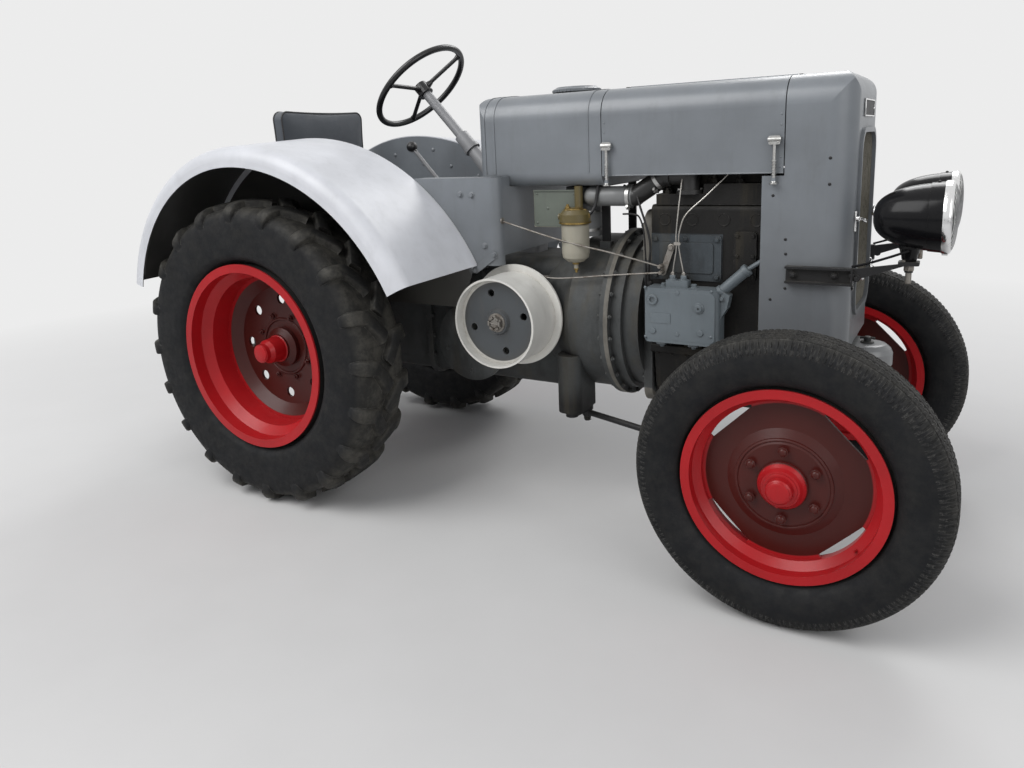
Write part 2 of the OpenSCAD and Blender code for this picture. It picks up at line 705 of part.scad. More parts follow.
module rear_rim_right() {
    color(wheel_red) in_frame() rear_rim();
}

module rear_rim_left() {
    color(wheel_red) in_frame() on_left() rear_rim();
}

// Outline of one lug on the tread: x runs backwards along the tread, y outwards from its middle
module lug_outline() {
    bend = rear_tyre_w * 0.22;
    edge = rear_tyre_w / 2 + 5;
    polygon([[-bend - lug_w * 0.7, 0.35 * lug_w], [-bend, -0.35 * lug_w],
        [lug_w * 0.65, bend - 0.2 * lug_w], [lug_w * 0.95, edge],
        [-lug_w * 0.15, edge], [-lug_w * 0.35, bend + 0.25 * lug_w]]);
}

// Carcass with its lugs: bars slanted from the middle of the tread back to each shoulder
module rear_tyre() {
    tread_r = rear_tyre_r - lug_h;
    shoulder = rear_tyre_w / 2;
    pitch = 360 / lug_count;
    crown = [[tread_r - 60, shoulder - 8], [tread_r - 27, shoulder - 1],
        [rear_tyre_r - 31, shoulder - 9], [rear_tyre_r - 12, shoulder * 0.8],
        [rear_tyre_r - 3, shoulder * 0.62], [rear_tyre_r, shoulder * 0.45]];
    turned_y(0, -rear_y, rear_tyre_r) polygon(tyre_section(rear_rim_r - rear_flange + seat, rear_rim_r,
        tread_r, rear_rim_w / 2 - rim_t - seat, shoulder - 6, 0.42));
    translate([0, -rear_y, rear_tyre_r]) rotate([90, 0, 0]) intersection() {
        rotate_extrude()
            polygon(concat(crown, [for (i = [len(crown) - 1:-1:0]) [crown[i][0], -crown[i][1]]]));
        union() for (side = [0, 1], i = [0:lug_count - 1])
            rotate([0, 0, pitch * (i + side / 2)]) mirror([0, 0, side]) translate([tread_r - 60, 0, 0])
                rotate([90, 0, 90]) linear_extrude(lug_h + 80) lug_outline();
    }
}

module rear_tyre_right() {
    color(rubber) in_frame() rear_tyre();
}

module rear_tyre_left() {
    color(rubber) in_frame() on_left() rear_tyre();
}

module front_rim() {
    rb = front_rim_r - front_flange - 20 - rim_t;
    difference() {
        union() {
            turned_y(wheelbase, -front_y, front_tyre_r)
                polygon(rim_section(front_rim_r, front_rim_w / 2, front_flange, 20, 28, rim_t));
            difference() {
                turned_y(wheelbase, -front_y, front_tyre_r) polygon([[0, 20], [112, 20], [150, 2],
                    [rb - 12, -10], [rb + 2, -10], [rb + 2, -1], [rb - 10, -1], [152, 11], [114, 30],
                    [0, 30]]);
                // crescent gaps between disc and rim
                for (a = [45:90:315]) translate([wheelbase, -front_y, front_tyre_r]) rotate([0, a, 0])
                    block(rb - 22, rb + 1, -80, 80, -75, 75);
            }
            // hub and its stepped cap
            turned_y(wheelbase, -front_y, front_tyre_r) polygon([[0, kingpin_y + 46 + hub_gap - front_y],
                [48, kingpin_y + 46 + hub_gap - front_y], [62, 22], [66, 40], [56, 52], [50, 62],
                [36, 64], [34, 84], [29, 89], [0, 89]]);
            for (a = [30:60:330]) translate([wheelbase, -front_y, front_tyre_r]) rotate([0, a, 0])
                bar_y(11, -42, -24, 96, 0);
        }
        bar_y(stub_r + fit, -stub_end - 4, -kingpin_y, wheelbase, front_tyre_r);
    }
}

module front_rim_right() {
    color(wheel_red) in_frame() front_rim();
}

module front_rim_left() {
    color(wheel_red) in_frame() on_left() front_rim();
}

module front_tyre() {
    turned_y(wheelbase, -front_y, front_tyre_r) polygon(tyre_section(front_rim_r - front_flange + seat,
        front_rim_r, front_tyre_r, front_rim_w / 2 - rim_t - seat, front_tyre_w / 2, 0.62));
}

module front_tyre_right() {
    color(rubber) in_frame() front_tyre();
}

module front_tyre_left() {
    color(rubber) in_frame() on_left() front_tyre();
}

// Hood, tank and radiator

// Section of the hood, made smaller all round by inset: crowned top, round corners, upright sides
module hood_section(inset, bottom) {
    w = half_w - inset;
    r = hood_corner_r - inset;
    crown_r = (half_w * half_w + hood_crown * hood_crown) / (2 * hood_crown) - inset;
    crown_z = hood_top - inset - crown_r;
    corner_z = crown_z + sqrt(pow(crown_r - r, 2) - pow(w - r, 2));
    reach = 1.1 * crown_r / (crown_r - r);
    intersection() {
        translate([-w, bottom]) square([2 * w, hood_top - bottom]);
        union() {
            intersection() {
                translate([0, crown_z]) circle(crown_r);
                polygon([[0, crown_z], [reach * (w - r), crown_z + reach * (corner_z - crown_z)],
                    [-reach * (w - r), crown_z + reach * (corner_z - crown_z)]]);
            }
            for (s = [-1, 1]) translate([s * (w - r), corner_z]) circle(r);
            translate([-w, bottom]) square([2 * w, corner_z - bottom]);
        }
    }
}

hinge_y = 20;
hinge_z = hood_top - 2;
hinge_pin_r = 4;
hinge_r = 7;
leaf_x0 = tank_front_x + 3;
leaf_x1 = shell_x - 3;
latch_out = 14;
latch_top = hood_bottom + 0.37 * (hood_top - hood_bottom);
latch_bottom = hood_bottom - 28;

// Latch of a hood leaf: an upper clip, a rod and a turning knob under the leaf's edge
module hood_latch(x) {
    y = -half_w - latch_out;
    block(x - 15, x + 15, y - 2, -half_w + 1, latch_top - 20, latch_top);
    bar_x(6, x - 17, x + 17, y, latch_top - 8);
    bar_z(4, latch_bottom + 2, latch_top - 8, x, y);
    translate([x, y, latch_bottom]) cylinder(r1 = 8, r2 = 6, h = 16);
}

module hood_leaf() {
    difference() {
        union() {
            intersection() {
                slab_yz(leaf_x0, leaf_x1) difference() {
                    hood_section(0, hood_bottom);
                    hood_section(sheet_t, hood_bottom - 1);
                }
                block(leaf_x0, leaf_x1, -half_w - 1, -hinge_y, hood_bottom, hood_top);
            }
            bar_x(hinge_r, leaf_x0 + 12, leaf_x1 - 12, -hinge_y, hinge_z);
            for (x = [leaf_x0 + 21, leaf_x1 - 24]) hood_latch(x);
        }
        bar_x(hinge_pin_r + fit, leaf_x0 - 1, leaf_x1 + 1, -hinge_y, hinge_z);
        for (x = [leaf_x0 - 1, leaf_x1 - 12]) block(x, x + 13, -hinge_y - 9, 0, hinge_z - 10, hinge_z + 10);
    }
}

module hood_leaf_right() {
    color(body_grey) in_frame() hood_leaf();
}

module hood_leaf_left() {
    color(body_grey) in_frame() on_left() hood_leaf();
}

module hood_ridge() {
    color(dark_iron) in_frame() {
        block(tank_front_x, shell_x, -10, 10, hood_top - 8, hood_top);
        for (s = [-1, 1]) {
            bar_x(hinge_pin_r, tank_front_x, shell_x, s * hinge_y, hinge_z);
            for (x = [tank_front_x, shell_x - 11])
                translate([x, s * (hinge_y + 6) / 2 - (hinge_y + 6) / 2, hinge_z - 6])
                    cube([11, hinge_y + 6, 12]);
        }
    }
}

// Raised beads round the tank: distance from its rear end and width
tank_bead = [[36, 3], [68, 10], [tank_len - 46, 3]];
cap_r = 86;

module fuel_tank() {
    r = 45;
    high = hood_top - tank_bottom;
    mid = [(tank_x + tank_front_x) / 2, (hood_top + tank_bottom) / 2];
    color(body_grey) in_frame() {
        intersection() {
            slab_yz(tank_x, tank_front_x) union() {
                hood_section(0, tank_bottom + r);
                translate([0, tank_bottom + r + 10]) rounded(hood_w, 2 * r + 20, r);
            }
            slab_xy(tank_bottom - 1, hood_top + 1) union() {
                translate([mid[0], 0]) rounded(tank_len, hood_w, r);
                translate([tank_x + r, -half_w]) square([tank_len - r, hood_w]);
            }
            slab_xz(-half_w, half_w) union() {
                translate(mid) rounded(tank_len, high, r);
                translate([tank_x + r, tank_bottom]) square([tank_len - r, high]);
            }
        }
        for (b = tank_bead) slab_yz(tank_x + b[0], tank_x + b[0] + b[1])
            hood_section(-2, max(tank_bottom + r, footwell_top + 4));
        // filler neck and cap
        turned_z(tank_x + 0.583 * tank_len, 0) polygon([[0, hood_top - 8], [cap_r - 22, hood_top - 8],
            [cap_r - 22, hood_top + 2], [cap_r, hood_top + 2], [cap_r, hood_top + 11],
            [cap_r - 8, hood_top + 16], [cap_r - 34, hood_top + 20], [0, hood_top + 20]]);
    }
}

module tank_saddle() {
    color(dark_iron) in_frame() {
        block(saddle_x - saddle_w / 2, saddle_x + saddle_w / 2, -140, 140, tank_bottom - 6, tank_bottom);
        for (s = [-1, 1]) block(saddle_x - saddle_w / 2 + 5, saddle_x + saddle_w / 2 - 5,
            s * saddle_y - 4, s * saddle_y + 4, saddle_pad_z, tank_bottom - 6);
    }
}

shell_strip_x = shell_x - shell_strip;
shell_r = 70;

grille_corner = 55;
grille_mid = (grille_top + grille_bottom) / 2;
grille_h = grille_top - grille_bottom;

// Solid of the radiator shell, made smaller all round by inset
module shell_solid(inset) {
    intersection() {
        slab_yz(shell_strip_x, shell_front_x - inset) hood_section(inset, shell_bottom);
        slab_xy(shell_bottom, hood_top) union() {
            translate([shell_front_x - shell_r - 100, 0])
                rounded(2 * (shell_r + 100 - inset), hood_w - 2 * inset, shell_r - inset);
            translate([shell_strip_x, -half_w + inset])
                square([shell_front_x - shell_r - shell_strip_x, hood_w - 2 * inset]);
        }
        slab_xz(-half_w, half_w) union() {
            translate([shell_strip_x, shell_bottom])
                square([shell_front_x - inset - shell_strip_x, hood_top - inset - shell_r - shell_bottom]);
            translate([shell_strip_x, shell_bottom])
                square([shell_front_x - shell_r - shell_strip_x, hood_top - inset - shell_bottom]);
            translate([shell_front_x - shell_r, hood_top - shell_r]) circle(shell_r - inset);
        }
    }
}

module radiator_shell() {
    color(body_grey) in_frame() {
        difference() {
            shell_solid(0);
            shell_solid(sheet_t);
            // seam against the hood leaves, and the grille opening
            block(shell_strip_x - 1, shell_x, -half_w - 1, half_w + 1, hood_bottom - 7, hood_top + 1);
            slab_yz(shell_front_x - 20, shell_front_x + 10) translate([0, grille_mid])
                rounded(grille_w, grille_h, grille_corner);
        }
        // floor on the axle carrier
        block(shell_strip_x + 20, shell_front_x - shell_r, -half_w + sheet_t, half_w - sheet_t,
            shell_bottom, shell_bottom + 5);
        // raised frame round the grille
        slab_yz(shell_front_x, shell_front_x + 9) translate([0, grille_mid]) difference() {
            rounded(grille_w + 28, grille_h + 28, grille_corner + 14);
            rounded(grille_w, grille_h, grille_corner);
        }
    }
}

// Grille behind the opening: a frame and a mesh of upright and level bars
module grille() {
    gx = shell_front_x - sheet_t - seat;
    color(dark_iron) in_frame() {
        slab_yz(gx - 4, gx) translate([0, grille_mid]) difference() {
            rounded(grille_w + 30, grille_h + 30, grille_corner + 15);
            rounded(grille_w - 10, grille_h - 10, grille_corner - 5);
        }
        intersection() {
            slab_yz(gx - 4, gx) translate([0, grille_mid])
                rounded(grille_w + 4, grille_h + 4, grille_corner + 2);
            union() {
                for (i = [-11:11])
                    block(gx - 4, gx, i * 12.5 - 1.5, i * 12.5 + 1.5, grille_bottom - 4, grille_top + 4);
                for (i = [1:7]) block(gx - 4, gx - 2, -grille_w / 2 - 4, grille_w / 2 + 4,
                    grille_bottom + i * grille_h / 8 - 1.5, grille_bottom + i * grille_h / 8 + 1.5);
            }
        }
    }
}

core_top = hood_top - 98;

module radiator_core() {
    color(dark_iron) in_frame() {
        block(shell_x + 24, shell_front_x - 53, 30 - half_w, half_w - 30,
            shell_bottom + 5 + seat, core_top - 60);
        block(shell_x + 20, shell_front_x - 49, 26 - half_w, half_w - 26, core_top - 60, core_top);
    }
}

// Footwell, fenders and seat

fender_x = 44;
fender_slope = 20;
fender_front_z = 905;
fender_rear_z = 850;
panel_x = footwell_front_x - 360;
panel_z = 915;
floor_front_x = pulley_x - 198;
cowl_corner = 35;
cowl_r = 150;

// The fender's side view, made larger by grow: two arcs that meet at the top
module fender_side(grow) {
    intersection() {
        translate([fender_x, fender_top - fender_front_r]) circle(fender_front_r + grow);
        translate([fender_x, -200]) square([1200, 2000]);
    }
    intersection() {
        translate([fender_x, fender_top - fender_rear_r]) circle(fender_rear_r + grow);
        translate([fender_x - 1200, -200]) square([1200, 2000]);
    }
}

module footwell() {
    color(body_grey) in_frame() difference() {
        union() {
            mirrored_pair() {
                // side panel under the fender and up to the cowl
                slab_xz(-panel_y, -panel_y + sheet_t) union() {
                    intersection() {
                        fender_side(fender_slope - 4);
                        polygon([[-560, fender_rear_z + 10], [-300, floor_z], [floor_front_x, floor_z],
                            [floor_front_x + 60, panel_z], [floor_front_x + 70, fender_top + 100],
                            [-560, fender_top + 100]]);
                    }
                    translate([panel_x, panel_z])
                        square([footwell_front_x - cowl_corner - panel_x, footwell_top - panel_z]);
                }
                block(panel_x, footwell_front_x - cowl_corner, -panel_y, -half_w - seat,
                    footwell_top - sheet_t, footwell_top);
                // floor plate and its stand on the axle
                block(-120, floor_front_x, -panel_y, -gearbox_w / 2 - 21, floor_z, floor_z + 4);
                block(-45, 45, -305, -245, trumpet_pad_z, floor_z);
            }
            slab_xy(panel_z, footwell_top) difference() {
                translate([footwell_front_x - cowl_r, 0]) rounded(2 * cowl_r, footwell_w, cowl_corner);
                translate([footwell_front_x - cowl_r, 0])
                    rounded(2 * (cowl_r - sheet_t), footwell_w - 2 * sheet_t, cowl_corner - sheet_t);
                translate([0, -400]) square([footwell_front_x - cowl_corner, 800]);
            }
        }
        // room for the tank, the gearbox and the steering gear
        block(tank_x - 60, footwell_front_x + 10, -half_w - seat, half_w + seat, tank_bottom, hood_top);
        block(footwell_front_x - 20, footwell_front_x + 5, cowl_corner - panel_y, panel_y - cowl_corner,
            800, pulley_z + 215);
    }
}

// Section of a fender from its inner edge to the rolled outer lip; x is the radius beyond the arc
module fender_section(base) {
    w = fender_y - panel_y;
    r = 48;
    translate([base, panel_y]) union() {
        polygon([[fender_slope, 0], [fender_slope, 4], [0, w - r], [-sheet_t, w - r],
            [fender_slope - sheet_t, 4], [fender_slope - 26, 3], [fender_slope - 26, 0]]);
        translate([-r, w - r]) difference() {
            circle(r);
            circle(r - sheet_t);
            translate([-r - 1, -r - 1]) square([2 * r + 2, r + 1]);
            translate([-r - 1, -r - 1]) square([r + 1, 2 * r + 2]);
        }
        translate([-fender_lip, w - sheet_t]) square([fender_lip - r, sheet_t]);
    }
}

module fender() {
    front_angle = asin((fender_front_z - fender_top + fender_front_r) / fender_front_r);
    rear_angle = asin((fender_rear_z - fender_top + fender_rear_r) / fender_rear_r);
    translate([fender_x, 0, fender_top - fender_front_r]) rotate([90, 0, 0]) rotate([0, 0, 90])
        rotate_extrude(angle = front_angle - 90) fender_section(fender_front_r);
    translate([fender_x, 0, fender_top - fender_rear_r]) rotate([90, 0, 0]) rotate([0, 0, 90])
        rotate_extrude(angle = 90 - rear_angle) fender_section(fender_rear_r);
}

module fender_right() {
    color(light_grey) in_frame() fender();
}

module fender_left() {
    color(light_grey) in_frame() on_left() fender();
}

seat_x0 = -215;
seat_x1 = 190;

module seat_frame() {
    color(dark_iron) in_frame() {
        block(seat_x0 + 10, seat_x1 - 40, -seat_w / 2 + 30, seat_w / 2 - 30, seat_z - 96, seat_z - 90);
        for (y = [-120, 112]) block(-150, 100, y, y + 8, seat_pad_z, seat_z - 96);
        block(-150, 100, -140, 140, seat_pad_z, seat_pad_z + 8);
        block(seat_x0 - 25, seat_x0 - 19, -seat_w / 2 + 20, seat_w / 2 - 20, seat_z - 96, backrest_top - 20);
        block(seat_x0 - 25, seat_x0 + 20, -seat_w / 2 + 30, seat_w / 2 - 30, seat_z - 96, seat_z - 90);
    }
}

module seat_cushion() {
    color([0.25, 0.25, 0.26]) in_frame()
        slab_xy(seat_z - 90 + seat, seat_z) translate([(seat_x0 + seat_x1) / 2 + 30, 0])
            rounded(seat_x1 - seat_x0 - 60, seat_w, 40);
}

module seat_backrest() {
    color([0.25, 0.25, 0.26]) in_frame()
        slab_yz(seat_x0 - 19 + seat, seat_x0 + 48) translate([0, (backrest_top + seat_z + 20) / 2])
            rounded(seat_w, backrest_top - seat_z - 20, 40);
}

// Steering column and controls

hub = [bell_x - 910, 0, 1566];
column_dir = [cos(column_angle), 0, -sin(column_angle)];
gear_z = gearbox_top + 90;
column_len = (hub[2] - gear_z) / sin(column_angle);
column_foot = hub + column_dir * column_len;

// A frame with its z axis up along the steering column, from the hub's underside
module on_column() {
    translate(hub) rotate([0, -(90 - column_angle), 0]) children();
}

module steering_column() {
    color(dark_iron) in_frame() difference() {
        union() {
            on_column() {
                translate([0, 0, -column_len]) cylinder(r = column_r, h = column_len - 40);
                // clamp and the boot below it
                translate([0, 0, -330]) cylinder(r = column_r + 9, h = 62);
                translate([0, 0, -345]) cylinder(r = column_r + 14, h = 16);
                translate([0, 0, 20 - column_len])
                    cylinder(r1 = 46, r2 = column_r + 6, h = column_len - 365);
            }
            slab_xy(gearbox_top, gear_z + 15) translate([column_foot[0] - 20, 0]) rounded(84, 100, 20);
        }
        on_column() translate([0, 0, -140]) cylinder(r = 11 + fit, h = 140);
    }
}

module steering_wheel() {
    rim = 12;
    color(lamp_black) in_frame() on_column() {
        rotate_extrude() translate([steering_wheel_r - rim, 0]) circle(rim);
        translate([0, 0, -38]) cylinder(r = 28, h = 44);
        translate([0, 0, -130]) cylinder(r = 11, h = 100);
        for (a = [30, 150, 270]) rotate([0, 0, a])
            rod([0, 0, -12], [steering_wheel_r - rim, 0, 0], 8);
    }
}

knob = [bell_x - 976, 0, 1334];

module driver_controls() {
    color(dark_iron) in_frame() {
        bar_z(32, gearbox_top + cover_t, gearbox_top + 34, lever_x, 0);
        rod(knob, [lever_x, 0, gearbox_top + 30], 8);
        translate(knob) sphere(r = 22);
    }
}

module belt_pulley() {
    web = pulley_w - 35;
    color(light_grey) in_frame() difference() {
        union() {
            turned_y(pulley_x, -pulley_in_y, pulley_z) polygon([[20, 20], [52, 20], [48, web - 20],
                [60, web - 10], [pulley_r - 8, web - 8], [pulley_r - 8, 8], [pulley_r - 7, 0],
                [pulley_lip_r, 0], [pulley_lip_r, 8], [pulley_r + 1, 10], [pulley_r, pulley_w],
                [pulley_r - 7, pulley_w], [pulley_r - 8, web], [46, web], [40, web + 12], [20, web + 12]]);
            bar_y(pulley_shaft_r, -pulley_in_y - web - 18, -pulley_in_y + 100, pulley_x, pulley_z);
        }
        for (a = [-14:90:256]) translate([pulley_x, 0, pulley_z]) rotate([0, a, 0])
            bar_y(13, -pulley_in_y - web - 2, -pulley_in_y - web + 14, 103, 0);
    }
}

// Lamps

lamp_x = wheelbase + 323;
stem_x = lamp_x - 80;
bracket_z = [896, 946];
foot_z = 960;
foot_t = 10;

// Channel on the shell's side, the bar that reaches forward and the foot under the lamp
module lamp_bracket() {
    y = half_w + seat;
    x0 = shell_x + 14;
    x1 = shell_front_x + 12;
    color(dark_iron) in_frame() mirrored_pair() {
        difference() {
            block(x0, x1, -y - 26, -y, bracket_z[0], bracket_z[1]);
            block(x0 - 1, x1 - 5, -y - 27, -y - 5, bracket_z[0] + 6, bracket_z[1] - 6);
        }
        slab_xz(-y - 13, -y - 5) polygon([[x1 - 2, bracket_z[0] + 12], [x1 - 2, bracket_z[1] - 2],
            [stem_x + 20, foot_z + foot_t], [stem_x + 20, foot_z], [stem_x - 10, foot_z - 2],
            [x1 + 14, bracket_z[0] + 20]]);
        slab_xy(foot_z, foot_z + foot_t) translate([stem_x, -lamp_y - 4]) rounded(52, 46, 8);
        bar_z(11, foot_z - 22, foot_z + 1, stem_x, -lamp_y + 4);
    }
}

// Both lamps, each a deep bowl with a rim, a domed glass and a boot under it
module headlamps() {
    color(lamp_black) in_frame() mirrored_pair() {
        turned_x(lamp_x, -lamp_y, lamp_z) polygon([for (i = [0:12]) let (a = 90 * i / 12)
            [(lamp_r - 6) * pow(sin(a), 0.75), -176 * cos(a)]]);
        turned_x(lamp_x, -lamp_y, lamp_z) polygon([[0, -2], [lamp_r, -2], [lamp_r, 14], [lamp_r - 8, 18],
            [60, 25], [0, 31]]);
        turned_z(stem_x, -lamp_y) polygon([[0, foot_z + foot_t], [17, foot_z + foot_t],
            [20, foot_z + foot_t + 8], [29, lamp_z - 92], [29, lamp_z - 60], [0, lamp_z - 60]]);
    }
}

// Hitch

jaw_z = rear_tyre_r + 20;
jaw_h = 100;
jaw_x = -axle_case_r - 20;
jaw_pin_r = 16;

module hitch() {
    arm_y = 106;
    color(dark_iron) in_frame() {
        // drawbar with its holes, on two arms under the axle
        difference() {
            block(-hitch_rear, -hitch_rear + 70, -340, 340, drawbar_z, drawbar_z + 22);
            for (y = [-300:75:300]) bar_z(drawbar_hole_r, drawbar_z - 1, drawbar_z + 23, -hitch_rear + 35, y);
        }
        mirrored_pair() slab_xz(-arm_y - 22, -arm_y) polygon([[-hitch_rear, drawbar_z + 22],
            [drawbar_pad_x, drawbar_z + 22], [drawbar_pad_x, drawbar_z + 84],
            [drawbar_pad_x - 60, drawbar_z + 72], [-hitch_rear, drawbar_z + 72]]);
        // jaw of the upper coupling
        difference() {
            slab_xy(jaw_z, jaw_z + jaw_h) union() {
                translate([jaw_x - 140, 0]) circle(60);
                translate([jaw_x - 140, -60]) square([140, 120]);
            }
            block(jaw_x - 210, jaw_x - 40, -70, 70, jaw_z + 22, jaw_z + jaw_h - 22);
            bar_z(jaw_pin_r, jaw_z - 1, jaw_z + jaw_h + 1, jaw_x - 140, 0);
        }
    }
}

gearbox_housing();
rear_axle_housing();
flywheel_housing();
engine_block();
cylinder_head();
injection_pump();
fuel_filter();
intake_pipe();
exhaust();
axle_carrier();
front_axle_beam();
knuckle_right();
knuckle_left();
tie_rod();
drop_arm();
drag_link();
front_rim_right();
front_rim_left();
front_tyre_right();
front_tyre_left();
rear_rim_right();
rear_rim_left();
rear_tyre_right();
rear_tyre_left();
radiator_shell();
grille();
radiator_core();
hood_leaf_right();
hood_leaf_left();
hood_ridge();
fuel_tank();
tank_saddle();
footwell();
fender_right();
fender_left();
seat_frame();
seat_cushion();
seat_backrest();
steering_column();
steering_wheel();
driver_controls();
belt_pulley();
lamp_bracket();
headlamps();
hitch();
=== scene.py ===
"""Looks of a vintage two-cylinder farm tractor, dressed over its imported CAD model."""

import json
import random
from contextlib import contextmanager
from itertools import product
from math import asin, copysign, cos, degrees, hypot, pi, radians, sin, sqrt, tau

import bmesh
import bpy
from mathutils import Matrix, Vector


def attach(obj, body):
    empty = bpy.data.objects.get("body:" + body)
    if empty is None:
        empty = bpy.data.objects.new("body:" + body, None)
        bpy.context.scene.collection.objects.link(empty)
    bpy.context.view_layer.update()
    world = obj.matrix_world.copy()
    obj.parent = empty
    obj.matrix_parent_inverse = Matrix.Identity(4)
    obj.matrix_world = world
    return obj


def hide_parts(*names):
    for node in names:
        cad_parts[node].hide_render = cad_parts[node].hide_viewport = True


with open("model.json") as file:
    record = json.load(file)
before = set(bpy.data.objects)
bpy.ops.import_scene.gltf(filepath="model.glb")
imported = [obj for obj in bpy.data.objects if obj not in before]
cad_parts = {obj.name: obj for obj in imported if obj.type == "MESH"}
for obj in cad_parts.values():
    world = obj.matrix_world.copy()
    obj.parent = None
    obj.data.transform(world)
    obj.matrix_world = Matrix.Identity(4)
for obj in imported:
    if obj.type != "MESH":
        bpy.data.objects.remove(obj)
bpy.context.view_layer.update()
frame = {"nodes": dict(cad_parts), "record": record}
nodes = frame["nodes"]
scene = bpy.context.scene

X, Y, Z = Vector((1, 0, 0)), Vector((0, 1, 0)), Vector((0, 0, 1))
RIGHT, LEFT = -1, 1
SIDES = ((RIGHT, "right", -Y), (LEFT, "left", Y))

# Places in millimetres from the ground below the rear axle, as the CAD has them
ORIGIN_X = 846.0
REAR_X, REAR_Z = 0.0, 587.0
FRONT_X, FRONT_Z = 1920.0, 412.0
CRANK_Z = 717.0
BELL_X = 1270.0
ARCH_X = 44.0
CYLINDERS_X = (1507.5, 1677.5)


def at(x, y, z):
    """A place in millimetres, as the frame has it in metres."""
    return Vector(((x - ORIGIN_X) / 1000, y / 1000, z / 1000))


def turns(count, start=0.0):
    """Even angles round a circle; the start is in degrees."""
    return [radians(start) + 2 * pi * i / count for i in range(count)]


def circle(count, radius, start=0.0):
    """Points round a circle: angle, first and second coordinate."""
    return [(a, radius * cos(a), radius * sin(a)) for a in turns(count, start)]


# Materials


class Graph:
    """The shader nodes of a material or a world."""

    def __init__(self, owner):
        owner.use_nodes = True
        self.tree = owner.node_tree

    def put(self, socket, value):
        if isinstance(value, bpy.types.NodeSocket):
            self.tree.links.new(value, socket)
        else:
            socket.default_value = (*value, 1.0) if socket.type == "RGBA" else value

    def add(self, kind, *values, named=None, **settings):
        """A node with its settings, and its inputs in order or by name."""
        node = self.tree.nodes.new("ShaderNode" + kind)
        for key, value in settings.items():
            setattr(node, key, value)
        for key, value in [*enumerate(values), *(named or {}).items()]:
            self.put(node.inputs[key], value)
        return node

    def calc(self, operation, a, b=0.0):
        return self.add("Math", a, b, operation=operation).outputs[0]

    def times(self, first, *more):
        for factor in more:
            first = self.calc("MULTIPLY", first, factor)
        return first


class Look(Graph):
    """One procedural material."""

    def __init__(self, name):
        self.material = bpy.data.materials.new(name)
        super().__init__(self.material)
        self.shader = self.tree.nodes["Principled BSDF"]
        self.place = self.add("TexCoord").outputs["Object"]

    def noise(self, scale, detail=3.0, rough=0.55, stretch=None):
        place = self.place
        if stretch:
            place = self.add("Mapping", place, named={"Scale": (1.0, 1.0, stretch)}).outputs["Vector"]
        named = {"Vector": place, "Scale": scale, "Detail": detail, "Roughness": rough}
        return self.add("TexNoise", named=named).outputs["Fac"]

    def spread(self, value, low, high, out_low=0.0, out_high=1.0):
        return self.add("MapRange", value, low, high, out_low, out_high).outputs["Result"]

    def blend(self, share, a, b, mode="MIX"):
        named = {"Factor": share, "A": a, "B": b}
        return self.add("Mix", named=named, data_type="RGBA", blend_type=mode).outputs["Result"]

    def cover(self, base, colour, *shares):
        """A colour over the base, by the product of the shares."""
        return self.blend(self.times(*shares), base, colour)

    def toned(self, colour, noise, *span):
        """A colour made darker and lighter by a noise."""
        tone = self.blend(1.0, (1.0, 1.0, 1.0), self.spread(noise, *span), "MULTIPLY")
        return self.blend(1.0, colour, tone, "MULTIPLY")

    def masked(self, colour, mask):
        """The colour, with another one where the mask's function is 1."""
        return self.blend(mask[0](self), colour, mask[1]) if mask else colour

    def part(self, vector, axis):
        return self.add("SeparateXYZ", vector).outputs[axis]

    def vector(self, operation, *values):
        return self.add("VectorMath", *values, operation=operation).outputs

    def normal(self):
        return self.add("NewGeometry").outputs["Normal"]

    def along(self, axis, low, high):
        """0 below low and 1 above high, both in millimetres along one of the axes."""
        shift = ORIGIN_X if axis == "X" else 0.0
        return self.spread(self.part(self.place, axis), (low - shift) / 1000, (high - shift) / 1000)

    def apart(self, x, z, lengthwise=False):
        """Way from a crosswise or lengthwise shaft."""
        flat = (0.0, 1.0, 1.0) if lengthwise else (1.0, 0.0, 1.0)
        return self.vector("MULTIPLY", self.vector("SUBTRACT", self.place, at(x, 0, z))["Vector"], flat)["Vector"]

    def around(self, x, z, low, high, lengthwise=False):
        """0 within a radius low of a shaft and 1 beyond high."""
        length = self.vector("LENGTH", self.apart(x, z, lengthwise))["Value"]
        return self.spread(length, low / 1000, high / 1000)

    def within(self, x, z, low, high):
        """1 within a radius low of a crosswise shaft and 0 beyond high."""
        return self.calc("SUBTRACT", 1.0, self.around(x, z, low, high))

    def hollows(self, distance):
        """Near 1 in corners and gaps, 0 in the open."""
        node = self.add("AmbientOcclusion", named={"Distance": distance}, samples=6)
        return self.spread(node.outputs["AO"], 0.25, 0.85, 1.0, 0.0)

    def edges(self, radius):
        """Near 1 on sharp outer edges."""
        bevel = self.add("Bevel", named={"Radius": radius}, samples=4)
        dot = self.vector("DOT_PRODUCT", bevel.outputs["Normal"], self.normal())
        return self.spread(dot["Value"], 0.995, 0.86)

    def upward(self, low=0.2, high=0.9):
        """Near 1 where the surface looks up."""
        return self.spread(self.part(self.normal(), "Z"), low, high)

    def bump(self, height, strength, distance, under=None):
        named = {"Strength": strength, "Distance": distance, "Height": height}
        if under:
            named["Normal"] = under
        return self.add("Bump", named=named).outputs["Normal"]

    def finish(self, colour, roughness, normal=None, **fixed):
        fixed.update(Base_Color=colour, Roughness=roughness)
        if normal:
            fixed["Normal"] = normal
        for key, value in fixed.items():
            self.put(self.shader.inputs[key.replace("_", " ")], value)
        return self.material


HOOD_GREY = (0.172, 0.187, 0.203)
CAST_GREY = (0.072, 0.076, 0.076)
WHEEL_RED = (0.39, 0.0085, 0.012)
# dark red of the wheel discs: painted shade with dirt
SHADED_DIRTY_DISC_RED = (0.058, 0.0085, 0.006)
# colours laid in corners and hollows: painted shade there, with grime
GRIME_AND_SHADE = (0.050, 0.048, 0.042)
HAND_GRIME_AND_SHADE = (0.10, 0.09, 0.075)
PRIMER = (0.25, 0.24, 0.23)
PAINT_DUST = (0.34, 0.32, 0.29)


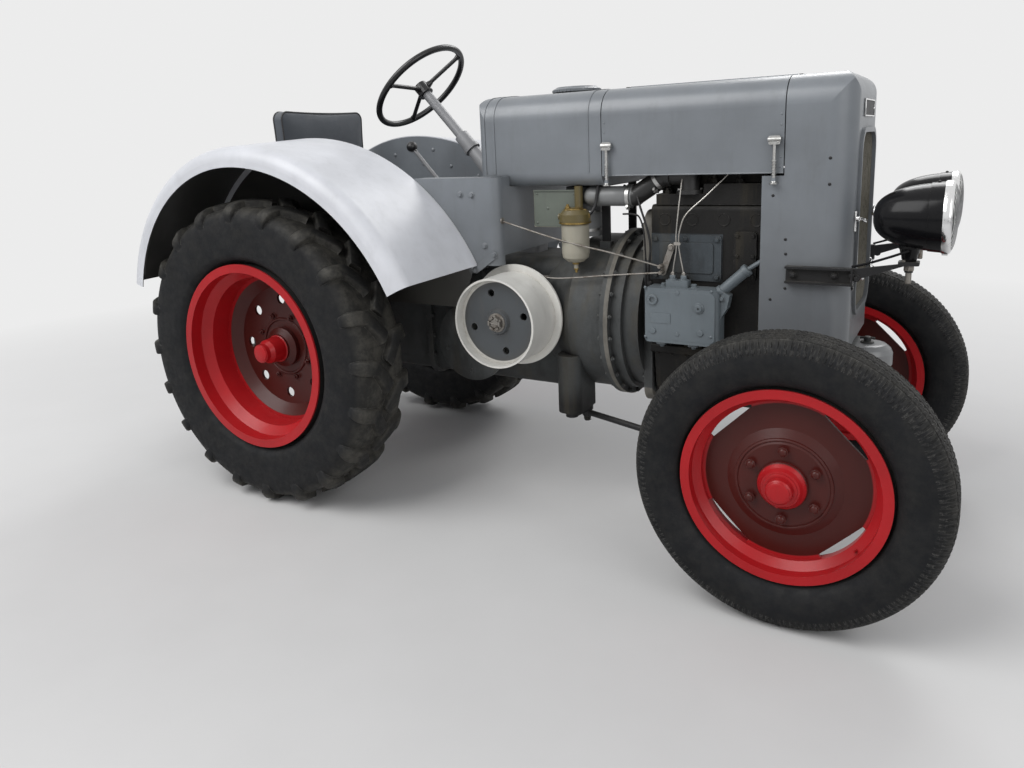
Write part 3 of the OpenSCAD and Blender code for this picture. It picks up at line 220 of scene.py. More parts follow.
def paint(name, colour, gloss, shade_and_grime=GRIME_AND_SHADE, dirt_and_shade=0.5, dust=0.05, wear=0.4, grain=0.2, coat=0.1, spec=0.5,
          low=0.0, mask=None):
    """Brushed-on paint over metal: uneven tone, grime streaks, painted shade in corners and low down, dust on top and
    worn edges.
    """
    k = Look(name)
    base = k.toned(k.masked(colour, mask), k.noise(5.0, 4.0), 0.35, 0.65, 0.90, 1.06)
    fine = k.noise(70.0, 4.0, 0.6)
    streaks = k.spread(k.noise(26.0, 5.0, 0.65, stretch=0.16), 0.52, 0.74)
    # painted shade in corners and gaps by ambient occlusion, mixed with real grime streaks
    soiled = k.calc("MAXIMUM", k.times(k.hollows(0.05), 0.9), k.times(streaks, 0.35))
    soiled = k.times(soiled, k.spread(fine, 0.3, 0.65, 0.45, 1.0))
    base = k.cover(base, shade_and_grime, soiled, dirt_and_shade)
    # low: painted shade, darker towards the bottom
    if low:
        base = k.cover(base, shade_and_grime, k.along("Z", 1200, 700), low)
    base = k.cover(base, PAINT_DUST, k.upward(), k.spread(k.noise(14.0, 5.0, 0.7), 0.35, 0.7), dust)
    base = k.cover(base, PRIMER, k.edges(0.0025), k.spread(k.noise(95.0, 5.0, 0.7), 0.56, 0.62), wear)
    roughness = k.calc("ADD", k.spread(fine, 0.3, 0.7, gloss - 0.025, gloss + 0.035), k.times(soiled, 0.25))
    normal = k.bump(k.noise(420.0), grain, 0.0006, k.bump(k.noise(30.0), grain * 0.6, 0.002))
    return k.finish(base, roughness, normal, Coat_Weight=coat, Coat_Roughness=0.25, Specular_IOR_Level=spec)


def casting(name, colour, oil_and_shade=0.5, gloss=0.5, grain=0.6, dust=0.3, mask=None):
    """Painted sand casting with a grainy skin, oil stains, painted shade in hollows, brown runs and dust."""
    k = Look(name)
    base = k.toned(k.masked(colour, mask), k.noise(9.0, 5.0, 0.6), 0.3, 0.7, 0.78, 1.12)
    stains = k.spread(k.noise(7.0, 6.0, 0.7, stretch=0.35), 0.46, 0.62)
    # painted shade in hollows by ambient occlusion, with oil stains
    deep = k.calc("MAXIMUM", k.hollows(0.08), k.times(stains, 0.7))
    base = k.cover(base, (0.014, 0.013, 0.012), deep, oil_and_shade)
    runs = k.spread(k.noise(16.0, 5.0, 0.6, stretch=0.12), 0.52, 0.66)
    base = k.cover(base, (0.072, 0.060, 0.038), runs, 0.3)
    dusty = k.spread(k.noise(18.0, 5.0, 0.7), 0.3, 0.65)
    base = k.cover(base, (0.20, 0.185, 0.155), k.upward(0.3, 0.95), dusty, dust)
    chips = k.spread(k.noise(80.0, 5.0, 0.7), 0.5, 0.6)
    base = k.cover(base, (0.20, 0.19, 0.175), k.edges(0.003), chips, 0.35)
    roughness = k.calc("SUBTRACT", gloss + 0.12, k.times(deep, 0.22))
    normal = k.bump(k.noise(260.0, 4.0, 0.65), grain, 0.0012, k.bump(k.noise(45.0), grain * 0.5, 0.003))
    return k.finish(base, roughness, normal, Specular_IOR_Level=0.22)


def rubber(name, colour, dust, treads):
    """Old tyre rubber: matt black with a faint blue that paints the sky's reflection, dust on the tread and in the
    grooves, worn edges.
    """
    k = Look(name)
    base = k.toned(colour, k.noise(12.0, 5.0, 0.65), 0.3, 0.7, 0.75, 1.25)
    cloud = k.spread(k.noise(20.0, 6.0, 0.72), 0.42, 0.72)
    soiled = k.times(k.calc("MAXIMUM", k.times(cloud, 0.55), k.times(k.hollows(0.03), 0.7)), dust)
    for x, z, low, high, share in treads:
        tread = k.times(k.around(x, z, low, high), k.spread(cloud, 0.0, 0.7, 0.35, 1.0))
        soiled = k.calc("MAXIMUM", soiled, k.times(tread, k.within(x, z, high + 20, high + 30), share))
    base = k.cover(base, (0.098, 0.092, 0.078), soiled)
    scuffs = k.spread(k.noise(60.0, 4.0, 0.7), 0.42, 0.6)
    base = k.cover(base, (0.14, 0.135, 0.125), k.edges(0.004), scuffs, 0.5)
    roughness = k.spread(k.noise(48.0, 4.0, 0.6), 0.3, 0.7, 0.52, 0.78)
    normal = k.bump(k.noise(330.0, 4.0, 0.7), 0.5, 0.001, k.bump(k.noise(70.0, 4.0), 0.35, 0.002))
    return k.finish(base, roughness, normal, Specular_IOR_Level=0.2)


def leather(name, colour):
    """Worn artificial leather with fine grain, creases and painted shade in its hollows."""
    k = Look(name)
    base = k.toned(colour, k.noise(8.0, 4.0), 0.3, 0.7, 0.85, 1.1)
    cells = k.add("TexVoronoi", named={"Vector": k.place, "Scale": 520.0}, feature="DISTANCE_TO_EDGE")
    # painted shade in creases and seams
    base = k.cover(base, (0.05, 0.048, 0.045), k.hollows(0.03), 0.5)
    base = k.cover(base, PAINT_DUST, k.upward(0.3, 1.0), 0.12)
    creases = k.noise(38.0, 5.0, 0.7)
    grain = k.spread(cells.outputs["Distance"], 0.0, 0.25)
    normal = k.bump(grain, 0.35, 0.0006, k.bump(creases, 0.3, 0.002))
    return k.finish(base, k.spread(creases, 0.3, 0.7, 0.45, 0.62), normal, Sheen_Weight=0.1)


def bare(name, colour, rough=0.35, stain=(0.16, 0.10, 0.06), stained=0.4):
    """Bare metal with fine scratches, stains and painted shade in hollows."""
    k = Look(name)
    spots = k.spread(k.noise(40.0, 6.0, 0.7), 0.5, 0.68)
    base = k.cover(colour, stain, spots, stained)
    # painted shade in hollows
    base = k.cover(base, (0.08, 0.07, 0.06), k.hollows(0.02), 0.6)
    scratch = k.noise(240.0, 4.0, 0.7, stretch=0.08)
    roughness = k.calc("ADD", k.spread(scratch, 0.3, 0.7, rough - 0.05, rough + 0.1), k.times(spots, 0.25))
    return k.finish(base, roughness, k.bump(scratch, 0.15, 0.0004), Metallic=1.0)


def lens(name):
    """Clear headlamp glass, pressed into upright flutes."""
    k = Look(name)
    flutes = k.calc("SINE", k.times(k.part(k.place, "Y"), 620.0))
    spots = k.spread(k.noise(30.0, 4.0), 0.45, 0.75)
    colour = k.blend(spots, (0.97, 0.98, 0.97), (0.90, 0.90, 0.87))
    roughness = k.spread(spots, 0.0, 1.0, 0.03, 0.16)
    return k.finish(colour, roughness, k.bump(flutes, 0.35, 0.0015), Transmission_Weight=1.0, IOR=1.48)


def block_covers(k):
    """1 on the covers over the push rods."""
    return k.times(k.along("Z", 874, 876), k.along("Z", 1028, 1026), k.along("X", 1639, 1637))


def fender_shade_and_dirt(k):
    """1 on the faces of a fender that look at the rear axle; the dark colour there is painted shade with some dirt."""
    return k.spread(k.vector("DOT_PRODUCT", k.apart(ARCH_X, 600), k.normal())["Value"], -0.1, -0.3)


def wheel_well_shade_and_dirt(k):
    """1 on the side panels round the rear wheels, under the fenders; the dark colour there is painted shade with some
    dirt.
    """
    sides = k.calc("MAXIMUM", k.along("Y", 328, 329), k.along("Y", -328, -329))
    return k.times(sides, k.within(ARCH_X, 545, 800, 815))


def wheel_paint(word, x, z, inner, outer):
    """Bright red on a wheel's hub and rim; the disc between them dark red, painted shade with dirt."""

    def shaded_dirty_disc(k):
        return k.calc("SUBTRACT", k.around(x, z, inner, inner + 3), k.around(x, z, outer, outer + 4))

    return paint(word + "_wheel_paint", WHEEL_RED, 0.34, (0.10, 0.012, 0.012), dirt_and_shade=0.45, dust=0.02, wear=0.3,
                 spec=0.25, mask=(shaded_dirty_disc, SHADED_DIRTY_DISC_RED))


# sheet metal: painted shade in corners and towards the bottom, with grime streaks
SHEET = {"dirt_and_shade": 0.45, "dust": 0.06, "wear": 0.5, "coat": 0.2, "low": 0.4}
TREADS = ((REAR_X, REAR_Z, 520, 560, 0.65), (FRONT_X, FRONT_Z, 386, 404, 0.3))

looks = {
    "hood_grey": paint("hood_paint", HOOD_GREY, 0.36, **SHEET),
    # fender: faces towards the rear wheel darkened, painted shade with some dirt
    "fender_grey": paint("fender_paint", (0.61, 0.62, 0.65), 0.36, (0.16, 0.15, 0.13), dirt_and_shade=0.3, dust=0.02,
                         wear=0.3, grain=0.04, coat=0.08, spec=0.35, mask=(fender_shade_and_dirt, (0.035, 0.034, 0.032))),
    # castings darker below about 500 mm: painted shade under the tractor, with some dirt
    "casting_grey": casting("casting_paint", CAST_GREY, oil_and_shade=0.7,
                            mask=(lambda k: k.along("Z", 500, 420), (0.018, 0.018, 0.018))),
    # near-black engine casting: painted shade under the hood, partly the casting's own dark oily paint; the push rod
    # covers keep their bluish grey
    "engine_dark": casting("engine_casting_in_shade", (0.011, 0.0105, 0.010), oil_and_shade=0.7, dust=0.12,
                           mask=(block_covers, (0.056, 0.066, 0.074))),
    "black_paint": paint("black_paint", (0.016, 0.016, 0.017), 0.45, (0.040, 0.036, 0.030), dust=0.15, coat=0.0,
                         spec=0.3),
    # wheel hubs in the discs' dark red: painted shade with dirt
    "wheel_red": paint("hub_paint", SHADED_DIRTY_DISC_RED, 0.42, (0.030, 0.012, 0.009), dirt_and_shade=0.6, dust=0.08, wear=0.35, spec=0.35),
    # tyre rubber: near black with a faint blue, a painted sky reflection
    "tyre_black": rubber("tyre_rubber", (0.0075, 0.008, 0.0092), 0.22, TREADS),
    "lamp_black": paint("lamp_paint", (0.006, 0.006, 0.007), 0.16, HAND_GRIME_AND_SHADE, dirt_and_shade=0.1, dust=0.01, wear=0.1,
                        grain=0.03, coat=0.06, spec=0.15),
    "seat_cover": leather("seat_leather", (0.056, 0.065, 0.078)),
    "handwheel_black": paint("handwheel_plastic", (0.009, 0.009, 0.010), 0.30, HAND_GRIME_AND_SHADE, dirt_and_shade=0.2, dust=0.02,
                             wear=0.0, grain=0.05, spec=0.4),
    "radiator_dark": casting("radiator_matt", (0.016, 0.016, 0.016), grain=0.3, dust=0.1),
    "bare_steel": bare("bare_steel", (0.40, 0.385, 0.36)),
}

brass = bare("old_brass", (0.33, 0.235, 0.085), 0.42, (0.10, 0.07, 0.035), 0.6)
old_steel = bare("old_steel", (0.26, 0.245, 0.225), 0.48, (0.09, 0.055, 0.03), 0.6)
latch_zinc = bare("latch_zinc", (0.46, 0.46, 0.45), 0.34, (0.22, 0.20, 0.17), 0.4)
chrome = bare("chrome", (0.80, 0.80, 0.80), 0.10, (0.35, 0.33, 0.30), 0.12)
wire = bare("grille_wire", (0.19, 0.18, 0.15), 0.5, (0.07, 0.06, 0.045), 0.5)
glass = lens("lamp_glass")
rusty = casting("rusty_iron", (0.060, 0.036, 0.024), oil_and_shade=0.3, gloss=0.7)
piping_black = leather("piping_black", (0.014, 0.014, 0.016))
plate_green = paint("plate_green", (0.115, 0.132, 0.110), 0.5, dirt_and_shade=0.6, dust=0.1)
pump_paint = paint("pump_paint", (0.125, 0.148, 0.163), 0.40, dust=0.10, wear=0.6, grain=0.4)
rear_wheel = wheel_paint("rear", REAR_X, REAR_Z, 52, 276)
front_wheel = wheel_paint("front", FRONT_X, FRONT_Z, 62, 216)

own_looks = {
    "axle_carrier": paint("carrier_paint", (0.17, 0.175, 0.178), 0.32, dust=0.08, coat=0.2),
    "flywheel_housing": casting("bell_casting", CAST_GREY, oil_and_shade=0.7,
                                mask=(lambda k: k.around(BELL_X, CRANK_Z, 296, 299, True), (0.17, 0.16, 0.14))),
    # side panels: darkened round the rear wheels, painted shade with some dirt
    "footwell": paint("panel_paint", HOOD_GREY, 0.36, mask=(wheel_well_shade_and_dirt, (0.035, 0.034, 0.031)), **SHEET),
    "steering_column": paint("column_paint", (0.27, 0.272, 0.28), 0.38),
    "driver_controls": paint("lever_paint", (0.20, 0.20, 0.205), 0.38, wear=0.5,
                             mask=(lambda k: k.along("Z", 1316, 1318), (0.010, 0.010, 0.011))),
    "injection_pump": pump_paint,
    "belt_pulley": paint("pulley_paint", (0.66, 0.65, 0.61), 0.36, (0.15, 0.115, 0.075), dirt_and_shade=0.6, dust=0.06,
                         wear=0.5, mask=(lambda k: k.within(928, 735, 137, 139), (0.060, 0.067, 0.073))),
    "fuel_filter": paint("filter_shell", (0.33, 0.31, 0.25), 0.34, (0.16, 0.12, 0.05), dirt_and_shade=0.6, wear=0.3,
                         mask=(lambda k: k.along("Z", 1052, 1058), (0.105, 0.082, 0.030))),
    "intake_pipe": paint("intake_paint", (0.20, 0.205, 0.205), 0.42, dirt_and_shade=0.6, dust=0.15, wear=0.5,
                         mask=(lambda k: k.along("X", 1336, 1338), (0.012, 0.012, 0.012))),
}
for _, word, _ in SIDES:
    own_looks["rear_rim_" + word] = rear_wheel
    own_looks["front_rim_" + word] = front_wheel

for part in frame["record"]["subparts"]:
    for slot in nodes[part["node"]].material_slots:
        slot.material = own_looks.get(part["node"], looks[part["material_slot"]])


# Shapes

CORNERS = ((1, 1, 0), (-1, 1, 90), (-1, -1, 180), (1, -1, 270))


def across(axis):
    """Two unit vectors at right angles to an axis and to each other."""
    axis = Vector(axis).normalized()
    side = axis.cross(X if abs(axis.x) < 0.8 else Z).normalized()
    return side, axis.cross(side)


def curve(points, steps):
    """A smooth line through the points."""
    pts = [Vector(p) for p in points]
    pts = [2 * pts[0] - pts[1]] + pts + [2 * pts[-1] - pts[-2]]
    line = []
    for a, b, c, d in zip(pts, pts[1:], pts[2:], pts[3:]):
        for t in (j / steps for j in range(steps)):
            bend = (2 * a - 5 * b + 4 * c - d) * t * t + (3 * b - a - 3 * c + d) * t ** 3
            line.append(0.5 * (2 * b + (c - a) * t + bend))
    return line + [pts[-2]]


def corner_arc(half_a, half_b, radius, corner, n):
    """Points round one corner of a rounded rectangle."""
    sa, sb, start = corner
    arc = [radians(start + 90 * i / max(n - 1, 1)) for i in range(n)]
    return [(sa * (half_a - radius) + radius * cos(t), sb * (half_b - radius) + radius * sin(t)) for t in arc]


class Form:
    """Shapes gathered into one piece, in millimetres."""

    def __init__(self):
        self.mesh = bmesh.new()

    def loft(self, rings, caps=True, closed=False):
        """Faces between rings of equal length, with flat ends or closed to a loop."""
        rows = [[self.mesh.verts.new(at(*p)) for p in ring] for ring in rings]
        n = len(rows[0])
        for a, b in list(zip(rows, rows[1:])) + ([(rows[-1], rows[0])] if closed else []):
            for i in range(n):
                j = (i + 1) % n
                self.mesh.faces.new((a[i], a[j], b[j], b[i]))
        if caps and not closed:
            self.mesh.faces.new(rows[0][::-1])
            self.mesh.faces.new(rows[-1])

    def turned(self, place, axis, profile, n=24, caps=True, turn=0.0, closed=False):
        """A turned shape: (distance along the axis, radius) pairs."""
        place, axis = Vector(place), Vector(axis).normalized()
        u, v = across(axis)
        rays = [u * cos(a + turn) + v * sin(a + turn) for a in turns(n)]
        rings = [[place + axis * d + ray * max(r, 0.02) for ray in rays] for d, r in profile]
        self.loft(rings, caps=caps, closed=closed)

    def tube(self, points, radius, n=10, steps=6):
        """A round line through points, smooth or in straight runs where steps is 0."""
        line = curve(points, steps) if steps else [Vector(p) for p in points]
        rings = []
        side = None
        for i, p in enumerate(line):
            ahead = (line[min(i + 1, len(line) - 1)] - line[max(i - 1, 0)]).normalized()
            side = across(ahead)[0] if side is None else (side - ahead * side.dot(ahead)).normalized()
            other = ahead.cross(side)
            rings.append([p + side * c + other * s for _, c, s in circle(n, radius)])
        self.loft(rings)

    def hexhead(self, place, axis, width, high, base=-0.5, turn=0.0, stud=0.0):
        """A hexagon head, with the end of a stud if asked."""
        r = width / sqrt(3)
        self.turned(place, axis, [(base, r), (base + high * 0.82, r), (base + high, r * 0.84)], 6, turn=turn)
        if stud:
            end = base + high + stud
            self.turned(place, axis, [(base, width * 0.3), (end, width * 0.3), (end + 1.2, width * 0.22)], 12)

    def hexbolt(self, place, axis, width, high, stud=0.0):
        """A hexagon head on its washer."""
        self.turned(place, axis, [(-1, width * 0.78), (1.4, width * 0.78), (2.0, width * 0.72)], 18)
        self.hexhead(place, axis, width, high, 1.8, stud=stud)

    def dome(self, place, axis, radius, high, n=16):
        """A round-head bolt or rivet."""
        steps = [(high * sin(radians(a)), radius * cos(radians(a))) for a in (0, 25, 50, 72)]
        self.turned(place, axis, [(-1, radius)] + steps + [(high, 0.0)], n)

    def screw(self, place, axis, radius, high, turn):
        """A slotted cheese-head screw."""
        self.turned(place, axis, [(-1, radius), (high * 0.8, radius), (high, radius * 0.9)], 20)
        u, v = across(axis)
        top = Vector(place) + Vector(axis).normalized() * (high + 0.1)
        self.plate(top, u * cos(turn) + v * sin(turn), axis, radius * 1.7, radius * 0.3, 0.5)

    def plate(self, middle, along, out, length, width, thick, corner=0.0):
        """A flat plate, its length along one direction and its thickness outwards."""
        middle, along, out = Vector(middle), Vector(along).normalized(), Vector(out).normalized()
        side = out.cross(along).normalized()
        n = 5 if corner else 1
        outline = [p for spot in CORNERS for p in corner_arc(length / 2, width / 2, corner, spot, n)]
        self.loft([[middle + along * a + side * b + out * t for a, b in outline] for t in (-thick / 2, thick / 2)])

    def clamp(self, place, axis, radius, width, lug):
        """A hose clamp: a band with its screw."""
        axis, out = Vector(axis).normalized(), Vector(lug)
        band = [(0, radius), (0, radius + 1.6), (width, radius + 1.6), (width, radius)]
        self.turned(Vector(place) - axis * width / 2, axis, band, 28, closed=True)
        spot = Vector(place) + out.normalized() * (radius + 5)
        self.plate(spot, axis, out, width, 9, 9)
        self.turned(spot - out.cross(axis) * 12, out.cross(axis), [(0, 3.2), (22, 3.2), (22, 5.2), (27, 5.2)], 10)

    def done(self, name, slot, body="chassis", look=None, bevel=0.0, sharp=35.0, replaces=()):
        """Makes the object, gives it its finish and its body."""
        data = bpy.data.meshes.new(name)
        bmesh.ops.recalc_face_normals(self.mesh, faces=self.mesh.faces)
        self.mesh.to_mesh(data)
        self.mesh.free()
        data.shade_smooth()
        data.set_sharp_from_angle(angle=radians(sharp))
        piece = bpy.data.objects.new(name, data)
        scene.collection.objects.link(piece)
        if bevel:
            rounder = piece.modifiers.new("round", "BEVEL")
            rounder.width = bevel / 1000
            rounder.segments = 2
            rounder.angle_limit = radians(40)
        data.materials.append(look or looks[slot])
        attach(piece, body)
        if replaces:
            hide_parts(*replaces)
        return piece


@contextmanager
def gathered(name, slot, **finish):
    """Gathers shapes and makes them one piece."""
    form = Form()
    yield form
    form.done(name, slot, **finish)


# Wheels: place of the axle, with the distance of the tyre's middle from the tractor's

FRONT = (FRONT_X, 570.0, FRONT_Z)
REAR = (REAR_X, 580.0, REAR_Z)
LUGS = 20
LUG_TURN = 60.5  # distance outwards at which a lug bends from the tread to the shoulder

# Top of a rear lug from the middle of the tread to its end on the sidewall: distance outwards and radius
LUG_TOP = [(-4, 584), (2, 586.6), (20, 587), (42, 587), (61, 586.4), (84, 583.4), (108, 574.6), (118, 566),
           (126, 555.5), (131.5, 545), (134, 534), (131.5, 520), (127, 503)]
# Section of a lug: share of its width and depth below the top
LUG_SECTION = ((-1.22, 36), (-1.06, 8), (-0.98, 3.0), (-0.82, 0.4), (0, 0), (0.82, 0.4), (0.98, 3.0), (1.06, 8),
               (1.22, 36))


def tyre_half(r_flange, r_out, half_w, flat, tread, grooves, n):
    """Half of a tyre's outline from its middle to the bead: (distance outwards, radius, zone)."""
    mid = (r_flange + 1.5 + r_out) / 2
    last = cos(pi / 13)

    def radius(a):
        c = cos(a) / last
        return mid + (r_out - mid) * copysign(min(abs(c), 1.0) ** (1.32 * flat), c)

    def turn(y):
        return asin((y / half_w) ** (1 / flat))

    points = [(y, radius(turn(y)) - (5.0 if any(a < y < b for a, b in grooves) else 0.0), "tread") for y in tread]
    start = turn(tread[-1])
    for a in (start + (pi * 12 / 13 - start) * i / n for i in range(1, n + 1)):
        points.append((half_w * sin(a) ** flat, radius(a), "side"))
    return points


def wheel_point(axle, side, angle, r, y, shift=0.0):
    """A point of a wheel: its radius, distance outwards from the tyre's middle and way along the tread."""
    x, track, z = axle
    a = angle + shift / r
    return Vector((x + r * cos(a), side * (track + y), z + r * sin(a)))


def tyre_skin(form, axle, side, half, bead, count, shape, steps=(0.0,)):
    """The closed skin of a tyre; shape moves each point of the outline at each step round it."""
    outline = [(-y, r, zone) for y, r, zone in reversed(half[1:])] + half
    outline = [(-bead[1], bead[0], "bead")] + outline + [(bead[1], bead[0], "bead")]
    rings = []
    for i in range(count * len(steps)):
        angle = 2 * pi * (i // len(steps) + steps[i % len(steps)]) / count
        ring = []
        for y, r, zone in outline:
            dy, dr = shape(i, abs(y), r, zone)
            ring.append(wheel_point(axle, side, angle, r + dr, y + copysign(dy, y)))
        rings.append(ring)
    form.loft(rings, closed=True)


def front_shape(i, y, r, zone):
    """Notches of the shoulder and the ribs at two of four steps, and two beads on the sidewall."""
    cut = i % 4 in (1, 2)
    if zone == "tread":
        if y > 58:
            return (-1.0, -6.0) if cut else (0.0, 0.0)
        if 14 < y < 47 and not 28 < y < 34:
            return 0.0, -2.0 if cut else 0.0
    if zone == "side":
        if r > 372:
            return (-4.5, -3.0) if cut else (0.0, 0.0)
        if 346 < r <= 354:
            return 1.4, 0.0
        if 284 < r < 292:
            return 0.9, 0.0
    return 0.0, 0.0


def rear_shape(i, y, r, zone):
    """Two beads on the sidewall."""
    if zone == "side" and 470 < r < 479:
        return 2.0, 0.0
    if zone == "side" and 384 < r < 394:
        return 1.4, 0.0
    return 0.0, 0.0


def rear_lug(form, side, flank, angle, worn):
    """One lug on one flank of the rear tread: a bar that bends over the shoulder."""
    rings = []
    for j, (y, r) in enumerate(LUG_TOP):
        a, b = LUG_TOP[max(j - 1, 0)], LUG_TOP[min(j + 1, len(LUG_TOP) - 1)]
        run = Vector((b[0] - a[0], b[1] - a[1])).normalized()
        if y < LUG_TURN:
            share = max(y, 0) / LUG_TURN
            mid = -74.8 + 81.4 * share + (-6 if y < 0 else 0)
            wide = Vector((15.4 + 6.6 * share, -15.4 + 5.5 * share))
        else:
            share = min((y - LUG_TURN) / 74.5, 1.0)
            mid = 6.6 + 11.0 * share
            wide = Vector((22.0 + 2.2 * share, -9.9 * (1 - share)))
        if j > 8:
            wide = wide * (1 - 0.07 * (j - 8))
        ring = []
        for w, drop in LUG_SECTION:
            deep = drop - (worn if drop < 30 else 0)
            place = (r - run.x * deep, flank * (y + wide.y * w + run.y * deep), mid + wide.x * w)
            ring.append(wheel_point(REAR, side, angle, *place))
        rings.append(ring)
    form.loft(rings)


for side, word, _ in SIDES:
    grooves = [(8, 13.5), (28, 33.5), (47, 52)]
    tread = [0, 7, 8.5, 13, 14.5, 27, 28.5, 33, 34.5, 46, 47.5, 51.5, 53, 61, 66, 69]
    half = tyre_half(273.5, 412.0, 82.5, 0.62, tread, grooves, 15)
    finish = {"body": "front_wheel_" + word, "sharp": 28, "replaces": ["front_tyre_" + word]}
    with gathered("tyre_skin_front_" + word, "tyre_black", **finish) as form:
        tyre_skin(form, FRONT, side, half, (255.0, 54.0), 150, front_shape, (0.0, 0.09, 0.38, 0.47))

for side, word, _ in SIDES:
    half = tyre_half(354.0, 561.0, 129.0, 0.42, [0, 20, 40, 60, 80, 92, 103, 112], [], 22)
    finish = {"body": "rear_wheel_" + word, "sharp": 40, "replaces": ["rear_tyre_" + word]}
    with gathered("tyre_skin_rear_" + word, "tyre_black", **finish) as form:
        tyre_skin(form, REAR, side, half, (331.0, 112.5), 180, rear_shape)
        chance = random.Random(7)
        for flank, start in ((1, 0.0), (-1, 180 / LUGS)):
            for angle in turns(LUGS, start):
                rear_lug(form, side, flank, angle, chance.uniform(-1.2, 0.3))

for side, word, out in SIDES:
    # nuts, grease cap and valve
    finish = {"body": "front_wheel_" + word, "look": front_wheel, "bevel": 0.4}
    with gathered("front_hub_fittings_" + word, "wheel_red", **finish) as form:
        for a in turns(6, 30):
            spot = wheel_point(FRONT, side, a, 96, 41)
            form.turned(spot, out, [(-1, 14), (2, 14), (2.6, 13.2)])
            form.dome(spot + out * 2.4, out, 11.5, 6.5, 18)
        hub = wheel_point(FRONT, side, 0, 0.01, 0)
        form.turned(hub, out, [(60, 44), (66, 44), (67, 42), (67, 36)], 32)
        form.turned(hub, out, [(84, 30), (90, 29.6), (92, 27), (93, 20), (93.4, 0)], 32)
        for a in turns(3, 20):
            form.hexbolt(wheel_point(FRONT, side, a, 57, 41), out, 11, 6)
        # bead that stiffens the disc
        form.turned(hub, out, [(26, 119), (29.5, 121), (30, 124), (28, 128), (24, 129)], 64, caps=False)
        valve = wheel_point(FRONT, side, radians(-38), 240, 10)
        form.tube([valve, valve + out * 14, valve + out * 26 - X * 6], 3.4, steps=3)
    finish = {"body": "rear_wheel_" + word, "look": rear_wheel, "bevel": 0.5}
    with gathered("rear_hub_fittings_" + word, "wheel_red", **finish) as form:
        hub = wheel_point(REAR, side, 0, 0.01, 0)
        for a in turns(8, 22.5):
            form.hexbolt(wheel_point(REAR, side, a, 128, -64), out, 19, 11, stud=5)
        form.turned(hub, out, [(60, 33), (66, 32), (68, 28), (69, 12), (69.3, 0)], 32)
        form.turned(hub, out, [(-34, 52), (-30, 55), (-24, 55), (-20, 51)], 40)
        form.turned(hub, out, [(-62, 104), (-58, 107), (-58, 112), (-62, 116)], 72, caps=False)
        valve = wheel_point(REAR, side, radians(115), 306, -8)
        form.tube([valve, valve + out * 18, valve + out * 34], 4, steps=3)


# Engine and drive line

with gathered("housing_bolts", "casting_grey", bevel=0.5) as form:
    # ring of bolts round the clutch housing's joint
    for a, y, z in circle(24, 290, 7.5):
        form.hexhead((BELL_X + 15, y, CRANK_Z + z), X, 15, 8, turn=a, stud=3)
        form.hexhead((BELL_X - 15, y, CRANK_Z + z), -X, 15, 9, turn=a + 0.5)
    # plate at the engine's rear face
    for y, z in [*product((-186, 186), (530, 640, 750, 860, 970, 1050)), *product((-110, 0, 110), (1083,))]:
        form.hexbolt((1376, y, z), -X, 15, 8)
    # joint in the middle of the gearbox
    for y, z in product((-159, 159), (510, 590, 670, 750, 830)):
        form.hexhead((464, y, z), X, 13, 7)
        form.hexhead((440, y, z), -X, 13, 8)
    for y, (x, axis) in product((-80, 0, 80), ((464, X), (440, -X))):
        form.hexhead((x, y, 428.5), axis, 10, 6)
    # cover on the gearbox
    for x, y in product((424, 492, 560, 628, 696), (-98, 98)):
        form.hexbolt((x, y, 936), Z, 13, 7)
    form.turned((600, 40, 936), Z, [(-1, 26), (6, 26), (8, 22), (14, 22), (16, 19), (17, 0)], 6)
    for s, _, out in SIDES:
        # brake drums and their pivots
        for _, x, z in circle(5, 32, 90):
            form.hexbolt((705 + x, s * 264, 604 + z), out, 11, 6)
        for _, x, z in circle(5, 112, 90 + degrees(0.6)):
            form.dome((705 + x, s * 250, 604 + z), out, 8, 4)
        form.turned((705, s * 264, 604), out, [(-1, 15), (9, 15), (11, 12), (11.5, 0)], 20)
        # flanges of the axle trumpets
        for _, x, z in circle(10, 149, 18):
            form.hexbolt((x, s * 166, REAR_Z + z), out, 17, 9)
        for _, x, z in circle(10, 104, 18 + degrees(0.3)):
            form.hexbolt((x, s * 400, REAR_Z + z), -out, 15, 8)
    # rear cover and its plug
    for _, y, z in circle(8, 114, 22.5):
        form.hexbolt((-235, y, REAR_Z + z), -X, 15, 8)
    form.turned((-235, 0, 650), -X, [(-1, 17), (5, 17), (7, 14), (13, 14), (14, 11), (14.2, 0)], 6)
    # end of the power take-off shaft
    form.turned((-310, 0, 547), -X, [(-1, 10), (1.5, 10), (2, 8), (2.2, 0)], 18)

with gathered("pedal_pads", "black_paint", bevel=0.4) as form:
    up, along = Vector((-5, 0, 10)).normalized(), Vector((10, 0, 5)).normalized()
    for y in (-205, 205):
        middle = Vector((735, y, 880)) + up
        form.turned(middle - up * 1.5, up, [(0, 33.2), (3, 33.2), (4, 32)], 32)
        for d in (-20, -10, 0, 10, 20):
            form.plate(middle + along * d + up * 3.2, Y, up, 2 * sqrt(30 ** 2 - d ** 2), 4, 3)

